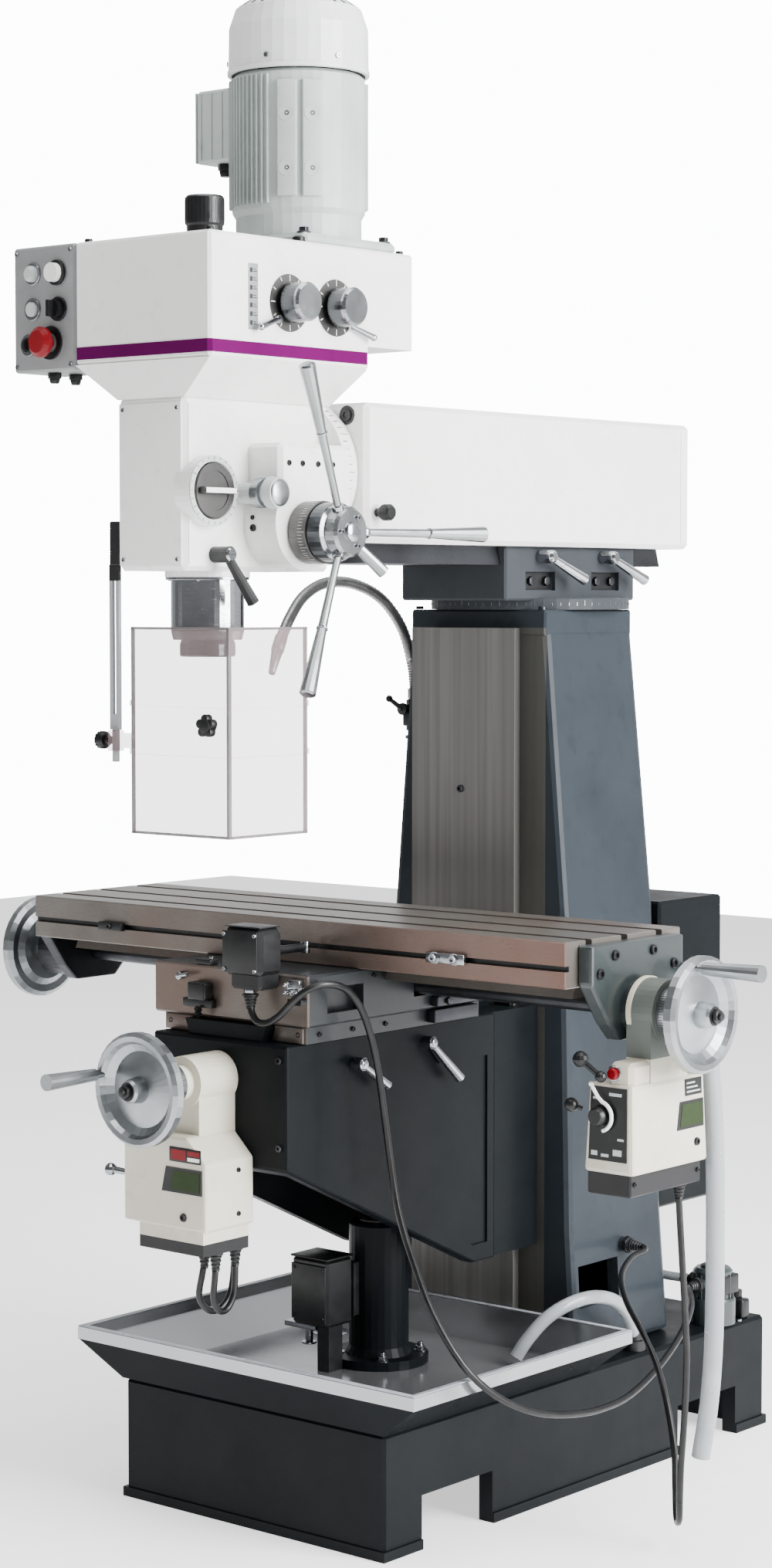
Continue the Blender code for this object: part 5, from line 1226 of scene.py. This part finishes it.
def add_table_details():
    front, screw = -0.4013, (-0.27, 0.761)
    # painted shade: a thin black strip at the back of the table's front groove for the shade inside it
    Form().block((-0.4995, 0.4995), (-0.3942, -0.3933), (0.8194, 0.8261)).done("dog_groove_shade", "black", "table")
    dark = Form().block((-0.356, -0.308), (front - 0.009, front), (0.817, 0.829), 0.0015)
    dark.screw((-0.332, front - 0.009, 0.823), -Y, 0.0042, 0.0034).done("table_dog_left", "black", "table")
    pale = Form().block((0.27, 0.336), (front - 0.008, front), (0.816, 0.8305), 0.0018)
    for x in (0.286, 0.32):
        pale.turned((x, front - 0.008, 0.8232), -Y, band(0.003, 0.0085, 0.0012), 28)
        pale.screw((x, front - 0.0092, 0.8232), -Y, 0.0058, 0.005)
    pale.done("table_dogs_right", "bright", "table")
    bolts = Form()
    for side in (-1, 1):
        for y, z in ((-0.3245, 0.837), (-0.238, 0.837), (-0.19, 0.815), (-0.358, 0.815)):
            bolts.screw((side * 0.5243, y, z), X * side, 0.007, 0.004)
    bolts.done("bracket_bolts", "black", "table")
    collars = Form().turned((0.5763, *screw), X, band(0.0303, 0.035, 0.017), 56)
    collars.turned((-0.5923, *screw), -X, band(0.0125, 0.026, 0.01), 56)
    collars.done("table_dials", "aluminium", "table")
    rim = rim_ticks(Form(), (0.585, *screw), X, 0.035, 60, 0.011, 0.0006)
    rim.done("table_dial_marks", "black", "table")
    ring = Form().turned((0.5343, *screw), X, band(0.0432, 0.045, 0.008), 56)
    ring.done("feed_neck_ring", "cream", "table")


def add_feed_details():
    """The table's power feed: its dark front panel, lever, buttons, labels and plug."""
    up = Vector((0, 0.004, 0.12)).normalized()  # the way up its leaning front
    place = Vector((0, -0.3603, 0.552))
    edge = [(0.5085, 0.018), (0.57, 0.018), (0.568, 0.115), (0.5105, 0.115)]
    panel = Form().outline(edge, 0.0009, place, X, up)
    panel.rod((0.502, -0.365, 0.636), (0.4935, -0.371, 0.64), 0.0032, sides=16)
    panel.ball((0.49, -0.373, 0.641), 0.0095).done("feed_panel", "black", "table")
    marks = Form()
    for a, b, w, h in ((0.513, 0.024, 0.01, 0.006), (0.529, 0.023, 0.012, 0.004),
                       (0.548, 0.026, 0.014, 0.008),
                       (0.514, 0.098, 0.012, 0.003), (0.54, 0.104, 0.02, 0.004), (0.555, 0.046, 0.01, 0.003)):
        marks.outline(oblong(a, b, w, h), 0.0003, place - Y * 0.0009, X, up)
    marks.done("feed_panel_marks", "grey_plastic", "table")
    centre = Vector((0.53, -0.3595, 0.629))
    grip = cap((0.0095, 0.018), (0.012, 0.015), (0.013, 0.004), (0.015, 0.002), (0.015, 0))
    Form().turned(centre, -Y, grip, 36).done("feed_knob", "black", "table")
    arc = [centre + out * 0.0195 - Y * 0.006 for out in spokes(range(-75, 76, 10), X, Z)]
    tail = ((-0.002, -0.0068, 0.025), (-0.007, -0.0076, 0.033), (-0.012, -0.0084, 0.042))
    arc += [centre + Vector(point) for point in tail]
    Form().sweep(arc, 0.0026, 14).ball(arc[-1], 0.0034).done("feed_arc_lever", "white_plastic", "table")
    button = (0.544, -0.3523, 0.685)
    red = Form().turned(button, -Y, cap((0.0065, 0.007), (0.0078, 0.0055), (0.0078, 0)), 32)
    red.done("feed_button", "red", "table")
    Form().turned(button, -Y, band(0.0082, 0.011, 0.0016), 36).done("feed_button_ring", "bright", "table")

    lean = Vector((-0.004, 0, 0.12)).normalized()  # the way up its leaning end
    side = Vector((0.5803, 0, 0.552))
    labels = Form().outline(oblong(-0.2374, 0.0925, 0.0384, 0.0225), 0.0006, side, Y, lean)
    back = [(-0.258, 0.0485), (-0.196, 0.0485), (-0.196, 0.086), (-0.25, 0.086)]
    labels.outline(back, 0.0006, side, Y, lean).done("feed_labels", "black", "table")
    inner = [(-0.251, 0.0525), (-0.199, 0.0525), (-0.199, 0.082), (-0.245, 0.082)]
    green = Form().outline(inner, 0.0004, side + X * 0.0006, Y, lean)
    green.done("feed_label_green", "green", "table")
    lines = Form()
    for k in range(3):
        line = oblong(-0.234, 0.0965 + 0.0058 * k, 0.031 - 0.006 * k, 0.0022)
        lines.outline(line, 0.0003, side + X * 0.0006, Y, lean)
    lines.done("feed_label_lines", "grey_plastic", "table")
    plug = Form().screw((0.5795, -0.2129, 0.5808), X, 0.0058, 0.0026, "button")
    plug.screws(0.5723, (-0.345, -0.2), 0.54, X, 0.0034, 0.002, "button").done("feed_plug", "black", "table")


def add_wheel_details():
    wheels = (("right", (0.62, -0.27, 0.761), X, "wheel_right"),
              ("left", (-0.62, -0.27, 0.761), -X, "wheel_left"),
              ("cross", (0, -0.681, 0.648), -Y, "cross_wheel"))
    for name, place, way, body in wheels:
        place = Vector(place)
        nut = Form().nut(place + way * 0.0263, way * 0.0077, 0.01, 0.0008)
        nut.turned(place + way * 0.0262, way, band(0.009, 0.0128, 0.0012), 36)
        nut.stub(place + way * 0.033, way * 0.0055, 0.0052, sides=24, bevel=0.0006)
        nut.done("wheel_nut_" + name, "black", body)


# ---------------------------------------------------------------- build it all
add_camera()
add_studio()
dress_nodes()
add_cords()
for add in (add_gooseneck, add_valve, add_column_details, add_cabinet, add_pedestal_details, add_tray_details,
            add_pump_details, add_turret_details, add_ram_details, add_stripe, add_head_details,
            add_gear_scales,
            add_flange_details, add_dials, add_panel_details, add_motor_details, add_guard_details,
            add_knee_details, add_cross_labels, add_saddle_details, add_table_details, add_feed_details,
            add_wheel_details):
    add()
